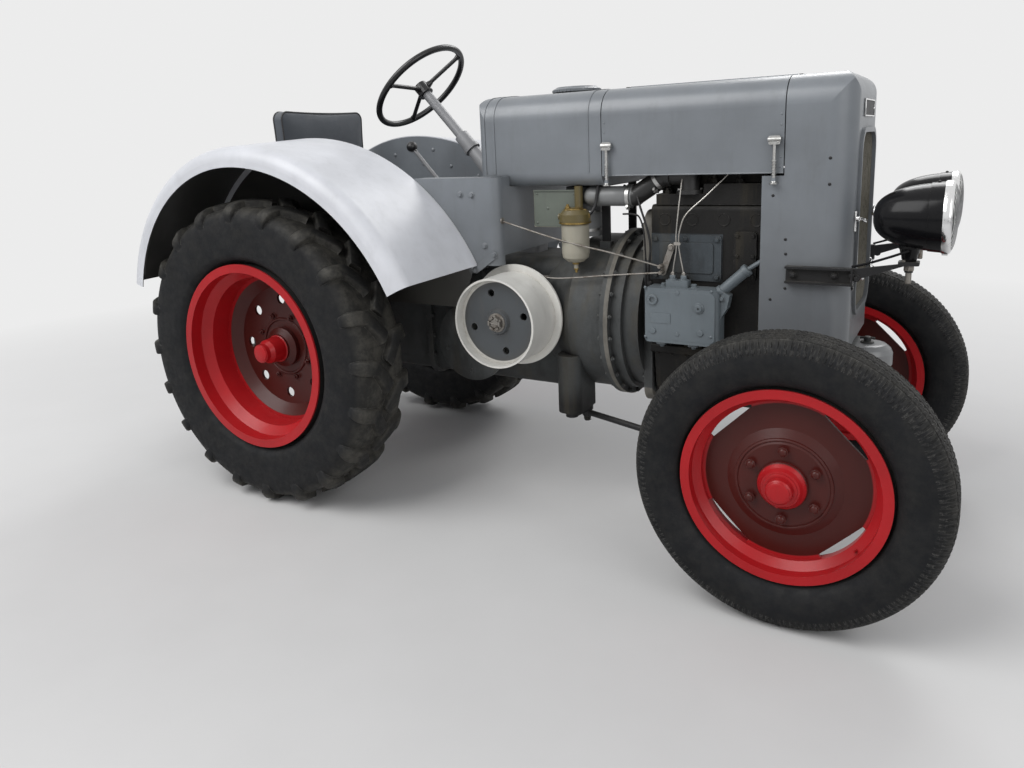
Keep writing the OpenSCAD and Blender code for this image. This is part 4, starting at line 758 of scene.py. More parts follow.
with gathered("engine_bolts", "engine_dark", bevel=0.5) as form:
    for s, _, out in SIDES:
        # sump joint
        for x in range(1428, 1765, 48):
            form.hexhead((x, s * 206, 658), Z, 10, 7)
            form.hexhead((x, s * 206, 628), -Z, 10, 5)
        # push rod cover: a raised rim and its bolts
        form.plate((1523, s * 209.5, 951), X, out, 176, 98, 4, corner=10)
        for x, z in ((1423, 892), (1423, 1010), (1523, 890), (1523, 1012), (1623, 892), (1623, 1010)):
            form.hexbolt((x, s * 208, z), out, 13, 7)
        for x, z in product((1686, 1734), (899, 962, 1025)):
            form.hexhead((x, s * 212, z), out, 11, 6)
        # core plugs in the water jacket
        for x in (1450, 1540, 1640, 1740):
            form.turned((x, s * 200, 1072), out, [(-1, 20), (1.5, 20), (2, 18.5), (0.6, 17), (0.6, 0)], 28)
    # studs of the cylinder head
    for x, y in [*product((1600, 1680, 1758), (-168, 168)), (1440, 168), (1520, 168)]:
        form.hexbolt((x, y, 1183), Z, 22, 14, stud=8)
    for place in ((1452, -182, 1152), (1452, -152, 1152), (1584, -160, 1183)):
        form.hexbolt(place, Z, 17, 10, stud=6)
    # drain plug
    form.turned((1590, 0, 440), -Z, [(-1, 22), (3, 22), (4, 16), (12, 16), (13, 13), (13.3, 0)], 6)

with gathered("rocker_cover_trim", "engine_dark", bevel=0.8) as form:
    # a seam, ribs and a nut each
    for x in CYLINDERS_X:
        form.plate((x, 10, 1216), X, Z, 136, 236, 5, corner=37)
        form.turned((x, 10, 1255), Z, [(-1, 17), (2, 17), (3, 14)], 28)
        form.hexhead((x, 10, 1257), Z, 19, 12, stud=6)
        for y in (-72, -36, 56, 92):
            form.plate((x, y, 1256), X, Z, 92, 6, 4, corner=2.9)

PUMP_FACE = -285.0
PUMP_RING = (1439, PUMP_FACE, 824)
PUMP_SOCKET = (1590, PUMP_FACE, 805)
with gathered("pump_fittings", "casting_grey", look=pump_paint, bevel=0.5) as form:
    # ring with a deep hole, star socket, slotted screws and plugs
    form.turned(PUMP_RING, -Y, [(-2, 17), (5, 17), (6.5, 15.5), (6.5, 9.5), (-1, 9)], 32, caps=False)
    form.turned(PUMP_SOCKET, -Y, [(-2, 17), (3, 17), (4, 16), (4, 12), (8, 11.5), (8.6, 10), (8.6, 6), (4, 5.6)], 28)
    form.turned(PUMP_SOCKET, -Y, [(6, 6.6), (8.9, 6.6)], 6)
    for x, z, *size in ((1440, 722, 10, 4.5, 0.5), (1595, 726, 10, 4.5, 1.2)):
        form.screw((x, PUMP_FACE, z), -Y, *size)
    for z in (716, 850):
        form.screw((1521, PUMP_FACE, z), -Y, 6.5, 3, 0.9)
    for x, z in ((1629, 716), (1629, 860), (1414, 862), (1414, 700)):
        form.dome((x, PUMP_FACE, z), -Y, 5, 2.6)
    for x in (1463, 1568):
        form.plate((x, -255, 680), X, Z, 34, 44, 9, corner=6)
        form.hexbolt((x, -262, 676), -Z, 14, 8)
    # seam of the side cover
    form.plate((1527, PUMP_FACE + 0.2, 773), X, -Y, 226, 158, 1.6, corner=14)
    # outlets with their union nuts
    for x in (1491, 1527):
        form.turned((x, -242, 884), Z, [(-1, 14), (2, 14), (3, 12.5), (3, 9.2)])
        form.hexhead((x, -242, 888), Z, 17, 12)
    for x in (1463, 1560):
        form.hexbolt((x, -242, 862), Z, 17, 9)
    # governor's tube: collar and end cap
    lean = Vector((90, 4, 84)).normalized()
    start = Vector((1636, -242, 843))
    form.turned(start + lean * 14, lean, [(0, 21), (9, 21), (11, 18)], 28)
    form.turned(start + lean * 112, lean, [(0, 18), (0, 19.5), (12, 19.5), (14, 17), (14.4, 0)], 28)
    form.tube([start + lean * 120, (1762, -236, 951), (1772, -230, 955)], 7, steps=4)
    form.hexbolt((1655, -260, 835), -Y, 12, 7)

with gathered("pump_holes", "black_paint") as form:
    form.turned(PUMP_RING, -Y, [(-1, 9.6), (0.4, 9.6)], 28)
    form.turned(PUMP_SOCKET, -Y, [(8.7, 3.2), (9.2, 3.2)], 20)

with gathered("pump_plate_blank", "bare_steel", look=pump_paint) as form:
    form.plate((1465, PUMP_FACE - 1.6, 765.5), X, -Y, 66, 33, 1.2, corner=2)
    for dx, dz in product((-29, 29), (-12.5, 12.5)):
        form.dome((1465 + dx, PUMP_FACE - 2.0, 765.5 + dz), -Y, 1.7, 1.0, 10)

with gathered("injection_lines", "bare_steel") as form:
    for line in (
        [(1491, -242, 896), (1494, -241, 930), (1502, -240, 982), (1500, -237, 1024), (1504, -231, 1093),
         (1508, -212, 1180), (1509, -190, 1250), (1507.5, -168, 1279)],
        [(1527, -242, 896), (1523, -241, 922), (1516, -240, 954), (1509, -239, 1002), (1513, -237, 1046),
         (1532, -232, 1093), (1592, -220, 1150), (1655, -204, 1215), (1679, -186, 1255), (1677.5, -168, 1279)],
    ):
        form.tube(line, 2.3, 8, 8)
        form.turned(line[0], Z, [(0, 6.5), (10, 6.5), (12, 4), (14, 3)], 6)
    lean = Vector((0, -37, 58)).normalized()
    for x in CYLINDERS_X:
        tip = Vector((x, -152, 1261))
        form.turned(tip - lean * 26, lean, [(0, 12.8), (0, 15.5), (13, 15.5), (14, 12.8)], 6, caps=False)
        nut = [(0, 9), (6, 9), (7, 7.5), (15, 7.5), (16, 5), (20, 4), (20.3, 0)]
        form.turned(tip - lean, lean, nut, 6)
    # clip that holds both lines together
    form.plate((1506, -241, 1000), X, -Y, 22, 10, 9, corner=3)

with gathered("fuel_hoses", "black_paint") as form:
    for radius, n, line in (
        (3.6, 10, [(1290, -150, 1178), (1345, -196, 1160), (1380, -228, 1104), (1407, -234, 1027),
                   (1413, -234, 978), (1402, -222, 900), (1398, -202, 862)]),
        (3.0, 10, [(1300, -186, 1086), (1349, -226, 1090), (1374, -230, 1081), (1389, -230, 1035),
                   (1393, -226, 960), (1391, -216, 904), (1385, -204, 852)]),
        (5.2, 12, [(1160, -243, 1081), (1190, -240, 1082), (1214, -226, 1110), (1220, -214, 1160), (1220, -206, 1186)]),
    ):
        form.tube(line, radius, n, 8)
    form.turned((1398, -200, 862), -Y, [(-1, 9), (7, 9), (8, 6)], 6)

with gathered("control_rods", "bare_steel", look=old_steel, bevel=0.3) as form:
    # rods from the driver's place to the governor's lever
    form.tube([(892, -300, 1070), (1120, -290, 1006), (1300, -272, 966), (1450, -246, 925)], 3)
    form.tube([(1020, -268, 874), (1105, -264, 872), (1280, -256, 890), (1452, -246, 905)], 3)
    form.plate((1467, -224, 945), (28, 0, 82), -Y, 108, 20, 6, corner=9)
    form.plate((1020, -246, 868), X, Z, 30, 56, 6, corner=6)
    form.turned((1020, -274, 860), Z, [(0, 8), (22, 8)], 16)
    form.turned((1481, -208, 985), -Y, [(-1, 12), (13, 12), (13, 9), (20, 9)])
    form.hexbolt((1481, -228, 985), -Y, 15, 8)
    for x, z in ((1450, 925), (1452, 905)):
        form.turned((x, -226, z), -Y, [(0, 7), (24, 7), (26, 5)], 16)
        form.hexhead((x, -252, z), -Y, 11, 6)
    form.turned((892, -300, 1070), X, [(-6, 12), (8, 12), (9, 9)])

with gathered("filter_head", "bare_steel", look=brass, bevel=0.4) as form:
    # lid with its ears, the seam below it and the drip of the drain
    x, y = 1150, -243
    form.turned((x, y, 1105), Z, [(-1, 30), (4, 30), (6, 26)], 32)
    form.hexbolt((x - 20, y - 14, 1105), Z, 17, 10, stud=6)
    for dx in (-36, 36):
        form.hexbolt((x + dx, y, 1098), Z, 12, 7)
        form.turned((x + dx * 1.36, y, 1084), Z, [(-6, 6), (8, 6), (9, 4)], 14)
    form.turned((x, y, 1060), Z, [(0, 47), (0, 54.4), (5, 54.4), (5, 47)], 48, closed=True)
    form.turned((x, y, 905), -Z, [(-2, 9), (3, 9), (5, 5), (13, 5), (14, 3.5)], 6)
    form.turned((x, y, 926), -Z, [(-1, 13), (5, 13), (7, 9)], 28)

with gathered("filter_plate", "bare_steel", look=plate_green) as form:
    # painted plate with a folded edge that carries the filter
    form.plate((1062, -213.4, 1106), X, -Y, 168, 126, 1.6, corner=4)
    form.plate((1062, -216.0, 1167), X, -Y, 168, 5, 4)
    for dx, dz in ((-72, 50), (72, 50), (-72, -50), (40, -52), (-30, 0)):
        form.dome((1062 + dx, -214, 1106 + dz), -Y, 5, 3)

with gathered("pulley_nut", "bare_steel", body="belt_pulley", look=old_steel, bevel=0.5) as form:
    place = Vector((928, -417, 735))
    form.turned(place, -Y, [(-1, 33), (3, 33), (3.6, 31)], 36)
    form.turned(place, -Y, [(3, 27), (14, 27), (14.8, 25), (14.8, 16.5), (2, 16.5)], 6, caps=False)
    for _, x, z in circle(6, 20, 30 + degrees(0.5)):
        form.plate(place + Vector((x, -17, z)), (z, 0, -x), -Y, 15, 7.5, 9)
    form.turned(place, -Y, [(0, 16), (16, 16), (18, 13.5), (18.3, 0)], 28)
    form.tube([place + Vector((-24, -18, 3)), place + Vector((24, -18.5, -3))], 2.2, steps=0)

# Nuts and grease nipples of the steering and the front axle
for name, body, spots in (
    ("knuckle_fittings_right", "knuckle_right", [(1800, -450, 376), (1935, -355, 312)]),
    ("knuckle_fittings_left", "knuckle_left", [(1800, 450, 376)]),
    ("drop_arm_fittings", "drop_arm", [(1130, -140, 338)]),
):
    with gathered(name, "casting_grey", body=body, bevel=0.3) as form:
        for place in map(Vector, spots):
            form.turned(place + Z * 2, -Z, [(0, 15), (2.5, 15), (3, 13)])
            form.turned(place - Z * 0.5, -Z, [(0, 13), (10, 13), (11, 11.5), (16, 11), (16.4, 0)], 6)
            form.tube([place - Z * 12 - X * 15, place - Z * 12 + X * 15], 1.6, steps=0)
        if body != "drop_arm":
            y = spots[0][1]
            form.turned((1920, y, 582), Z, [(-1, 22), (3, 22), (5, 16), (5.4, 0)], 28)
            nipple = [(4, 6), (10, 6), (11, 3.4), (16, 3.2), (18, 4), (20, 3), (20.4, 0)]
            form.turned((1920, y, 582), Z, nipple, 12)
            for _, dx, dy in circle(4, 26, 45):
                form.dome((1920 + dx, y + dy, 582), Z, 3.5, 2.5)
            form.turned((1800, y, 422), Z, [(-1, 15), (3, 15), (4, 12), (8, 11), (8.4, 0)], 20)

with gathered("carrier_fittings", "casting_grey", bevel=0.5) as form:
    form.turned((1835, 0, 508), -X, [(-1, 24), (5, 24), (6, 21)], 28)
    form.turned((2005, 0, 508), X, [(-1, 24), (14, 24), (15, 21)], 6)
    for (s, _, out), x in product(SIDES, (1830, 1900, 1960)):
        form.hexbolt((x, s * 120, 660), out, 19, 10)
    # towing pin through the nose
    form.turned((2045, 0, 670), Z, [(-2, 20), (3, 20), (4, 17)], 28)
    form.turned((2045, 0, 672), Z, [(0, 11), (16, 11), (18, 8)], 20)
    form.tube([(2023, 0, 684), (2045, 0, 686), (2067, 0, 684)], 4, steps=4)

with gathered("beam_fittings", "casting_grey", bevel=0.3) as form:
    for s in (RIGHT, LEFT):
        form.hexbolt((1920, s * 380, 544), Z, 15, 8)
        for x in (1896, 1944):
            form.dome((x, s * 450, 560), Z, 3.2, 3)

with gathered("exhaust_fittings", "black_paint", look=rusty, bevel=0.4) as form:
    for y, z, *size in ((275, 575, 55, 14), (275, 885, 55, 14), (251, 520, 28, 12)):
        form.clamp((1455, y, z), Z, *size, (0.3, 1, 0))
    for z in (640, 730, 820):
        form.turned((1455, 275, z), Z, [(-4, 55), (0, 57.5), (4, 55)], 40, caps=False)
    for x, dz in product((1495, 1680), (-30.4, 30.4)):
        form.hexbolt((x, 210, 1150 + dz), Y, 13, 8)
    form.turned((1455, 251, 480), -Z, [(-2, 28), (0, 29), (3, 29), (3, 25), (-6, 25)], 32, caps=False)

with gathered("intake_clamps", "bare_steel", look=latch_zinc, bevel=0.3) as form:
    lean = Vector((104, 0, 67)).normalized()
    form.clamp((1324, -180, 1145), X, 38, 12, (0, -0.6, -1))
    form.clamp(Vector((1343, -180, 1145)) + lean * 92, lean, 32.5, 12, (0, -0.6, -1))
    band = [(0, 62), (0, 68.5), (4, 69), (8, 68.5), (8, 62)]
    form.turned((1120, -105, 1085), Z, band, 48, closed=True)
    form.turned((1120, -105, 1020), Z, [(0, 62), (0, 64.5), (10, 64.5), (10, 62)], 48, closed=True)
    form.tube([(1120, -168, 1030), (1120, -172, 1050), (1120, -172, 1070), (1120, -170, 1090)], 3.2, 10, 4)
    for a in (0.4, 2.2, 3.9):
        form.hexhead((1525 + 35 * cos(a), -180 + 35 * sin(a), 1164), Z, 11, 7)


# Bodywork, grille and lamps

for s, word, out in SIDES:
    body = "hood_leaf_" + word
    # bright clip, rod, spring and knob over both latches of a hood leaf
    with gathered("latch_trim_" + word, "bare_steel", body=body, look=latch_zinc, bevel=0.3) as form:
        for x in (1274, 1799):
            y = s * 259
            form.plate((x, s * 262.2, 1309), X, out, 33, 25, 2.4, corner=4)
            form.turned((x - 19, y, 1311), X, [(0, 5), (1, 7.2), (37, 7.2), (38, 5)], 20)
            for dx in (-11, 11):
                form.dome((x + dx, s * 263.2, 1303), out, 2.6, 1.8, 12)
            form.turned((x, y, 1190), Z, [(0, 4.8), (112, 4.8)], 14)
            coil = [(i * 0.62, tau * i / 12) for i in range(73)]
            form.tube([(x + 6.6 * cos(a), y + 6.6 * sin(a), 1206 + h) for h, a in coil], 1.1, 6, 0)
            form.turned((x, y, 1183), Z, [(0, 11), (1, 12), (4, 12), (6, 8), (12, 6.6), (18, 5)])
            form.turned((x, y, 1183.5), Z, [(0, 4), (2, 4)], 12)
            form.turned((x, y, 1250), Z, [(0, 4.6), (0, 7), (3, 7), (3, 4.6)], 20, closed=True)
    # rolled lower edge and rivets of a hood leaf
    with gathered("hood_seam_" + word, "hood_grey", body=body) as form:
        form.tube([(1255, s * 243.2, 1216), (1821, s * 243.2, 1216)], 2.6, steps=0)
        for x, z in product((1262, 1814), (1232, 1262, 1352, 1382)):
            form.dome((x, s * 245, z), out, 3.2, 1.6, 12)

with gathered("filler_cap_trim", "hood_grey", bevel=0.4) as form:
    # ribbed ring, grip and vent
    place = Vector((1050, 0, 1500))
    for _, x, y in circle(36, 86):
        form.plate(place + Vector((x, y, 4.5)), (-y, x, 0), (x, y, 0), 6, 8, 3, corner=1.4)
    form.turned(place, Z, [(14, 74), (17.5, 72), (18.2, 69), (16.5, 66)], 60, caps=False)
    form.plate(place + Z * 18.6, X, Z, 76, 13, 5, corner=6)

with gathered("panel_bolts", "hood_grey", bevel=0.4) as form:
    for s, _, out in SIDES:
        # cowl bolts, and bolts of the side panel and the fender
        for x, z in ((748, 1164), (795, 1161), (640, 1085), (840, 985)):
            form.hexbolt((x, s * 330, z), out, 15, 7)
        for x, z in ((161, 1318), (104, 1256), (256, 1242), (400, 1196), (-60, 1300), (-200, 1236)):
            form.dome((x, s * 327, z), -out, 9, 5)
        # bracket under the panel's lower front corner
        form.plate((838, s * 332.2, 926), (92, 0, 64), out, 118, 26, 4, corner=11)
        for x, z in ((797, 897), (879, 955)):
            form.hexbolt((x, s * 334, z), out, 14, 8)

with gathered("body_bolts", "black_paint", bevel=0.4) as form:
    # bolts of the shell's strip and of its flange
    for s, _, out in SIDES:
        for x, z in ((1835, 1022), (1837, 979), (1838, 876), (1796, 840), (1796, 1150)):
            form.dome((x, s * 245, z), out, 4.6, 2.2, 14)
        for x, z in ((1949, 1254), (1950, 1181)):
            form.dome((x, s * 245, z), out, 4.6, 1.6, 14)

with gathered("lamp_foot_nuts", "bare_steel", look=old_steel, bevel=0.4) as form:
    # nut and stud under each lamp's foot
    for s in (RIGHT, LEFT):
        form.turned((2163, s * 236, 960), -Z, [(-1, 17), (3, 17), (3.5, 15)])
        form.turned((2163, s * 236, 957), -Z, [(0, 14.5), (13, 14.5), (15, 12)], 6)
        form.turned((2163, s * 236, 944), -Z, [(0, 8), (36, 8), (38, 6), (38.2, 0)], 16)
        form.hexhead((2150, s * 256, 970), Z, 10, 6)

with gathered("lamp_bracket_bolts", "black_paint", bevel=0.4) as form:
    for s, _, out in SIDES:
        for x, z in ((1862, 920), (1975, 922)):
            form.hexbolt((x, s * 250.3, z), out, 17, 10, stud=4)
        for x, z in ((2022, 926), (2034, 918)):
            form.hexbolt((x, s * 258.3, z), out, 13, 8)

with gathered("fender_wire", "fender_grey") as form:
    # wire rolled into the fender's lip, at the front arc and the rear arc
    for s in (RIGHT, LEFT):
        line = []
        for radius, arc in ((830, range(27, 91, 3)), (664, range(90, 173, 3))):
            for a in map(radians, arc):
                place = (ARCH_X + (radius - 67) * cos(a), s * 729, 1364 - radius + (radius - 67) * sin(a))
                if place[2] > 855:
                    line.append(place)
        form.tube(line, 4.2, steps=0)

# Name plate on the shell, blank: a dark field in a raised frame
with gathered("name_plate_field", "black_paint") as form:
    form.plate((2014.2, 0, 1390), Y, X, 206, 46, 3.4, corner=3)
with gathered("name_plate_frame", "bare_steel", look=chrome, bevel=0.6) as form:
    for s in (RIGHT, LEFT):
        form.plate((2016.2, 0, 1390 + s * 23), Y, X, 212, 4, 4.4)
        form.plate((2016.2, s * 105, 1390), Z, X, 47, 4, 4.4)
        form.dome((2015.8, s * 98, 1390), X, 3.4, 2, 14)

with gathered("grille_clips", "bare_steel", look=chrome, bevel=0.3) as form:
    # clips that hold the grille's frame
    for s, z in product((RIGHT, LEFT), (1070, 898)):
        form.plate((2015.4, s * 181, z), Z, X, 60, 11, 5, corner=3)
        form.turned((2016, s * 181, z + 8), X, [(0, 8), (8, 8), (10, 6), (10.3, 0)], 20)
        form.tube([(2025, s * 181, z + 8), (2028, s * 150, z + 4), (2030, s * 118, z - 3)], 4.2, 12)
        grip = [(-3, 5), (3, 6.5), (12, 6.5), (15, 4), (15.4, 0)]
        form.turned((2030, s * 118, z - 3), (0.05, -s, -0.2), grip, 16)


GRILLE_X, GRILLE_Z = 2010.9, 1056.5
DIAGONAL = 0.7071


def in_grille(y, z):
    """Whether a place lies in the grille's rounded opening, seen from its middle."""
    half_y, half_z, corner = 149.0, 262.5, 54.0
    dy, dz = abs(y) - (half_y - corner), abs(z) - (half_z - corner)
    if dy > 0 and dz > 0:
        return dy * dy + dz * dz < corner * corner
    return dy < corner and dz < corner


with gathered("grille_wires", "radiator_dark", look=wire) as form:
    # crossed wires in front of the grille's bars, cut to its opening
    for slope, k in product((1, -1), range(-41, 42)):
        run = [(t * DIAGONAL, slope * t * DIAGONAL + k * 10.0) for t in range(-420, 421, 4)]
        run = [p for p in run if in_grille(*p)]
        if len(run) > 1:
            form.tube([(GRILLE_X + slope / 2, y, GRILLE_Z + z) for y, z in (run[0], run[-1])], 0.8, 5, 0)

shells, rims, mirrors, glasses = Form(), Form(), Form(), Form()
# the bowl, the seam of the rim's band, then the wall turned inwards
bowl = [(-176 * cos(a), 92 * sin(a) ** 0.75) for a in (radians(90 * i / 24) for i in range(25))]
bowl = [(d, r) for d, r in bowl if d < -38]
bowl += [(-38, bowl[-1][1] + 0.3), (-37.5, bowl[-1][1] + 2.4), (-6, 94.6), (-4, 94.6), (-4, 90), (-30, 88), (-60, 84),
         (-120, 60), (-160, 20), (-162, 0)]
rim = [(-4, 93), (-4, 96.5), (0, 98), (11, 98), (15, 96), (18, 91), (16, 88.6), (4, 89)]
dome = [(16 + 15 * cos(a), 89.6 * sin(a)) for a in map(radians, range(0, 91, 6))]
dome += [(d - 3.5, max(r - 1.5, 0)) for d, r in reversed(dome)]
boot = [(970, 17), (978, 20), (990, 21.5), (994, 24), (1002, 25.5), (1006, 29), (1031, 29), (1034, 26)]
for s in (RIGHT, LEFT):
    c = Vector((2243, s * 240, 1091))
    shells.turned(c, X, bowl, 64)
    shells.dome(c + Vector((-20, 0, 94.8)), Z, 4.5, 3)
    rims.turned(c, X, rim, 72, closed=True)
    rims.plate(c + Vector((4, 0, -98)), X, -Z, 14, 14, 7, corner=2)
    mirrors.turned(c, X, [(-6, 89), (-40, 82), (-80, 62), (-110, 34), (-122, 10), (-122, 0)], 64, caps=False)
    mirrors.turned(c, X, [(-122, 9), (-96, 9), (-94, 6)], 20)
    mirrors.turned(c, X, [(-94, 4), (-88, 13), (-78, 16), (-68, 13), (-62, 5), (-61.5, 0)])
    glasses.turned(c, X, dome, 72)
    # rubber boot that carries the lamp, and its wire
    shells.turned((2163, s * 240, 0), Z, boot, 40)
    shells.tube([(2163, s * 268, 1002), (2120, s * 272, 985), (2060, s * 262, 962), (2020, s * 252, 950)], 3.6, 10, 8)
shells.done("lamp_shells", "lamp_black", replaces=["headlamps"])
rims.done("lamp_rims", "bare_steel", look=chrome)
mirrors.done("lamp_mirrors", "bare_steel", look=chrome)
glasses.done("lamp_glasses", "lamp_black", look=glass)

with gathered("radiator_hoses", "black_paint") as form:
    form.tube([(1770, 30, 1196), (1800, 30, 1204), (1826, 34, 1240), (1836, 36, 1290), (1848, 36, 1330),
               (1860, 36, 1352)], 21, 20)
    form.tube([(1788, -60, 800), (1815, -62, 790), (1840, -64, 768), (1856, -64, 752)], 21, 20)


# Seat and steering wheel

PAD_CORNER, PAD_PULL = 38.0, 5.0
SHOULDER, CROWN = 9.5, 6.5  # depth of the top's edge below the pad's thickness, and its rise to the middle
LONGEST_MOVE = 0.022
FRAMES = 20
CLOTH = {"quality": 5, "mass": 0.25, "tension_stiffness": 8, "compression_stiffness": 8, "shear_stiffness": 4,
         "bending_stiffness": 0.4, "use_pressure": True, "uniform_pressure_force": 4, "vertex_group_mass": "held"}


def pad_outline(half_u, half_v, inset):
    """A rounded rectangle, moved inwards all round, with sides that pull in between its corners."""
    points = []
    hu, hv, r = half_u - inset, half_v - inset, max(PAD_CORNER - inset, 6.0)
    for corner in CORNERS:
        points += corner_arc(hu, hv, r, corner, 9)
        # along the side that follows this corner
        _, sv, start = corner
        for t in (1 - 2 * i / 14 for i in range(1, 14)):
            dent = PAD_PULL * (1 - t * t)
            level = start in (0, 180)
            points.append((sv * t * (hu - r), sv * (hv - dent)) if level else (sv * (dent - hu), sv * t * (hv - r)))
    return points


def pad(name, node, middle, axes, size, welts):
    """An upholstered pad: crowned form, blown up by a cloth simulation that its welts hold down."""
    u, v, w = axes
    half_u, half_v, thick = size
    profile = [(1.0, 9), (3.0, 4.5), (9.0, 2.5), (thick * 0.5, 3.5), (thick - 20, 3.0), (thick - 13, 6),
               (thick - SHOULDER, 12)]

    def place(a, b, c):
        return Vector(middle) + u * a + v * b + w * c

    rings = [[place(a, b, c) for a, b in pad_outline(half_u, half_v, inset)] for c, inset in profile]
    last = pad_outline(half_u, half_v, profile[-1][1])
    for share in (0.86, 0.68, 0.46, 0.22, 0.04):
        crown = thick - SHOULDER + CROWN * (1 - share ** 3)
        rings.append([place(a * share, b * share, crown) for a, b in last])
    form = Form()
    form.loft(rings)
    start = form.done(name + "_form", "seat_cover")

    # the form becomes an even skin
    remesh = start.modifiers.new("skin", "REMESH")
    remesh.mode = "VOXEL"
    remesh.voxel_size = 0.006
    skin = bpy.data.meshes.new_from_object(start.evaluated_get(bpy.context.evaluated_depsgraph_get()))
    bpy.data.objects.remove(start)
    skin.name = name
    piece = bpy.data.objects.new(name, skin)
    scene.collection.objects.link(piece)
    before = [p.co.copy() for p in skin.vertices]
    origin = at(*middle)
    local = [tuple((p - origin).dot(axis) * 1000 for axis in axes) for p in before]

    def off_welt(a, b, c):
        """Distance of a point of the skin from the nearest welt."""
        side = max(abs(a) - (half_u - PAD_CORNER), 0.0), max(abs(b) - (half_v - PAD_CORNER), 0.0)
        inward = PAD_CORNER - hypot(*side) if side[0] and side[1] else min(half_u - abs(a), half_v - abs(b))
        return min(hypot(c - level, inward - inset) for level, inset in welts)

    held = piece.vertex_groups.new(name="held")
    for i, (a, b, c) in enumerate(local):
        share = 1.0 if c < 4 else max(0.0, 1.0 - off_welt(a, b, c) / 7.0)
        if share > 0:
            held.add([i], share, "REPLACE")
    cloth = piece.modifiers.new("pad", "CLOTH")
    for key, value in CLOTH.items():
        setattr(cloth.settings, key, value)
    cloth.settings.effector_weights.gravity = 0
    cloth.collision_settings.use_collision = False
    cloth.point_cache.frame_start = 1
    cloth.point_cache.frame_end = FRAMES
    for f in range(1, FRAMES + 1):
        scene.frame_set(f)
    swollen = piece.evaluated_get(bpy.context.evaluated_depsgraph_get()).to_mesh()
    moves = [q.co - p for p, q in zip(before, swollen.vertices)]
    piece.modifiers.remove(cloth)
    piece.vertex_groups.clear()
    scene.frame_set(1)
    moves = [m * min(1.0, LONGEST_MOVE / max(m.length, 1e-9)) for m in moves]
    # the swelling fills the space of the CAD's solid and no more
    fill = 1.0
    for (a, b, c), m in zip(local, moves):
        for here, move, room in (
            (abs(a), m.dot(u) * copysign(1000, a), half_u),
            (abs(b), m.dot(v) * copysign(1000, b), half_v),
            (c, m.dot(w) * 1000, thick),
        ):
            if move > 0.5 and here + move > room:
                fill = min(fill, max(0.0, (room - here) / move))
    for p, q, m in zip(before, skin.vertices, moves):
        q.co = p + m * fill
    # the welts draw the skin in
    for q, (a, b, c) in zip(skin.vertices, local):
        dip = max(0.0, 1.0 - off_welt(a, b, c) / 11.0)
        if dip > 0 and c > 4:
            q.co -= (u * a / half_u + v * b / half_v).normalized() * 0.0022 * dip * dip
    skin.shade_smooth()
    smooth = piece.modifiers.new("smooth", "SUBSURF")
    smooth.levels = smooth.render_levels = 1
    skin.materials.clear()
    skin.materials.append(looks["seat_cover"])
    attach(piece, "chassis")
    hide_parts(node)

    with gathered(name + "_piping", "seat_cover", look=piping_black) as piping:
        for level, inset in welts:
            line = [place(a, b, level) for a, b in pad_outline(half_u, half_v, inset - 0.4)]
            rings = []
            for i, p in enumerate(line):
                side = (line[(i + 1) % len(line)] - line[i - 1]).normalized().cross(w)
                rings.append([p + side * c + w * s for _, c, s in circle(8, 3.4)])
            piping.loft(rings, closed=True)


pad("seat_pad", "seat_cushion", (17.5, 0, 1040.3), (X, Y, Z), (172.5, 250.0, 89.7), ((76.0, 5.5), (8.0, 4.5)))
pad("backrest_pad", "seat_backrest", (-233.7, 0, 1326.5), (Z, Y, X), (176.5, 250.0, 66.7), ((53.0, 5.5), (8.0, 4.5)))

with gathered("seat_screws", "bare_steel", look=old_steel) as form:
    # screws through the seat frame's plates
    for y, z in product((-190, 190), (1190, 1300, 1410)):
        form.dome((-240, y, z), -X, 8, 4.5)
    for x, y in product((-120, 0, 120), (-180, 180)):
        form.hexbolt((x, y, 1034), -Z, 13, 7)

with gathered("steering_wheel_cap", "handwheel_black", body="steering_wheel", bevel=0.4) as form:
    # cap and nut on the hub, and collars on the spokes
    lean = radians(47.3)
    axis, ahead = Vector((-cos(lean), 0, sin(lean))), Vector((sin(lean), 0, cos(lean)))
    hub = Vector((360, 0, 1566))
    form.turned(hub + axis * 6, axis, [(-2, 27), (2, 27), (3, 25), (4, 19), (7, 16), (9, 11), (9.6, 0)], 40)
    form.turned(hub - axis * 39, axis, [(0, 18), (0, 30), (7, 30), (9, 28)], 36, caps=False)
    for a in turns(3, 30):
        spoke = ahead * cos(a) + Y * sin(a)
        root = hub - axis * 12 + spoke * 26
        run = (hub + spoke * 200 - root).normalized()
        form.turned(root, run, [(0, 13), (6, 12.5), (16, 9.6), (22, 8)], 20)
        form.turned(hub + spoke * 192 - run * 16, run, [(0, 8), (10, 10.5), (16, 12.5)], 20)


# Floor, light and camera

PALE = (0.84, 0.84, 0.84)


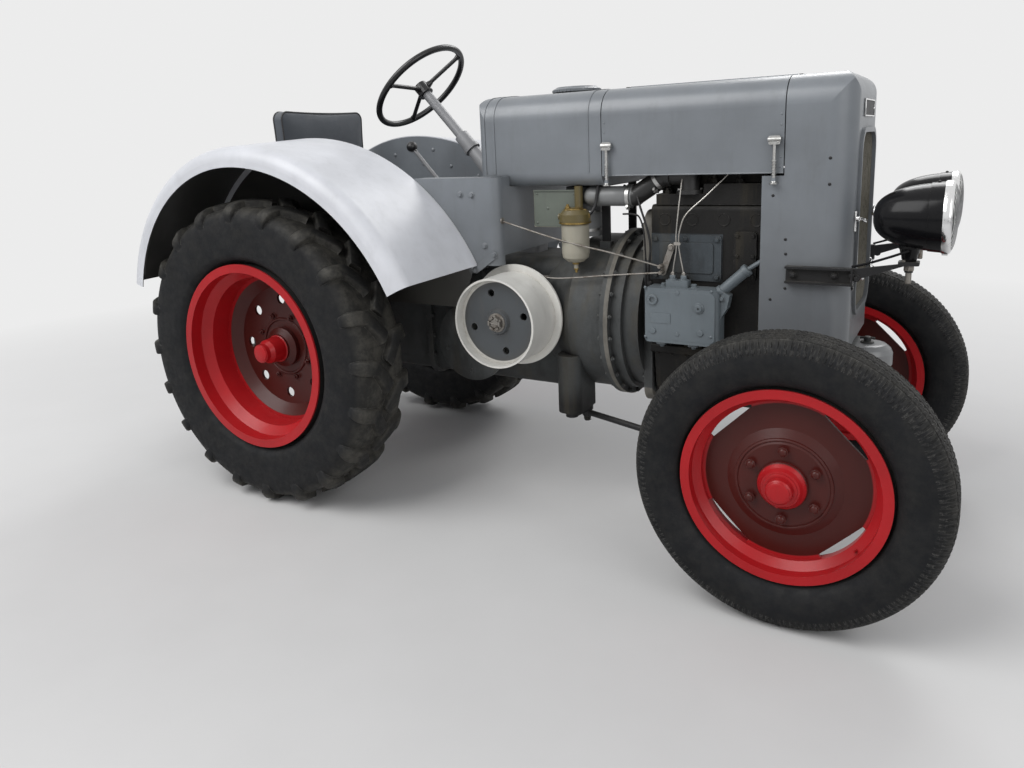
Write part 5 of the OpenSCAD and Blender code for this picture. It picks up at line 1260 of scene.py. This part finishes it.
def studio():
    """A pale round floor, a pale world and three soft lamps."""
    mesh = bpy.data.meshes.new("floor")
    b = bmesh.new()
    b.faces.new([b.verts.new((x, y, 0)) for _, x, y in circle(36, 120)])
    b.to_mesh(mesh)
    b.free()
    floor = bpy.data.objects.new("floor", mesh)
    scene.collection.objects.link(floor)
    k = Look("floor_pale")
    grain = k.noise(3.0, 5.0)
    tone = k.blend(k.spread(grain, 0.3, 0.7), (0.625, 0.62, 0.612), (0.645, 0.64, 0.632))
    k.finish(tone, k.spread(grain, 0.3, 0.7, 0.8, 0.95), Specular_IOR_Level=0.1)
    # far from the object, the camera sees the floor as pale as the world behind it
    far = k.spread(k.vector("LENGTH", k.place)["Value"], 1.8, 5.5)
    share = k.times(far, k.add("LightPath").outputs["Is Camera Ray"])
    over = k.add("MixShader", share, k.shader.outputs[0], k.add("Emission", PALE).outputs[0])
    k.put(k.tree.nodes["Material Output"].inputs["Surface"], over.outputs[0])
    mesh.materials.append(k.material)

    scene.world = bpy.data.worlds.new("studio")
    g = Graph(scene.world)
    light = g.tree.nodes["Background"]
    g.put(light.inputs["Color"], (0.93, 0.95, 1.0))
    g.put(light.inputs["Strength"], 0.42)
    ray = g.add("LightPath").outputs
    seen = g.calc("MAXIMUM", ray["Is Camera Ray"], ray["Is Glossy Ray"])
    seen = g.calc("MAXIMUM", seen, ray["Is Transmission Ray"])
    mixed = g.add("MixShader", seen, light.outputs[0], g.add("Background", PALE, 1.0).outputs[0])
    g.put(g.tree.nodes["World Output"].inputs["Surface"], mixed.outputs[0])

    for name, place, size, power in (
        ("key", (-2.5, -4.5, 6.0), 5.0, 380.0),
        ("fill", (5.5, -3.5, 3.5), 4.0, 110.0),
        ("rim", (1.0, 5.5, 6.0), 4.0, 230.0),
    ):
        lamp = bpy.data.lights.new(name, "AREA")
        lamp.size = size
        lamp.energy = power
        holder = bpy.data.objects.new(name, lamp)
        holder.location = place
        holder.rotation_mode = "QUATERNION"
        holder.rotation_quaternion = (Vector((0.0, 0.0, 0.7)) - Vector(place)).to_track_quat("-Z", "Y")
        scene.collection.objects.link(holder)


def camera():
    """The photograph's viewpoint; its optical axis meets the frame a little above the middle."""
    data = bpy.data.cameras.new("camera")
    data.sensor_width = 36.0
    data.lens = 778.685 / 1024 * 36.0
    data.shift_y = -70.95 / 1024
    holder = bpy.data.objects.new("camera", data)
    right = Vector((0.86044703, 0.50777082, -0.04242283))
    up = Vector((-0.07293578, 0.20513696, 0.97601189))
    ahead = Vector((-0.50429285, 0.83671239, -0.21354415))
    turn = Matrix((right, up, -ahead)).transposed().to_4x4()
    holder.matrix_world = Matrix.Translation(at(2313.19, -2611.13, 1333.53)) @ turn
    scene.collection.objects.link(holder)
    scene.camera = holder


studio()
camera()

scene.view_settings.view_transform = "Standard"
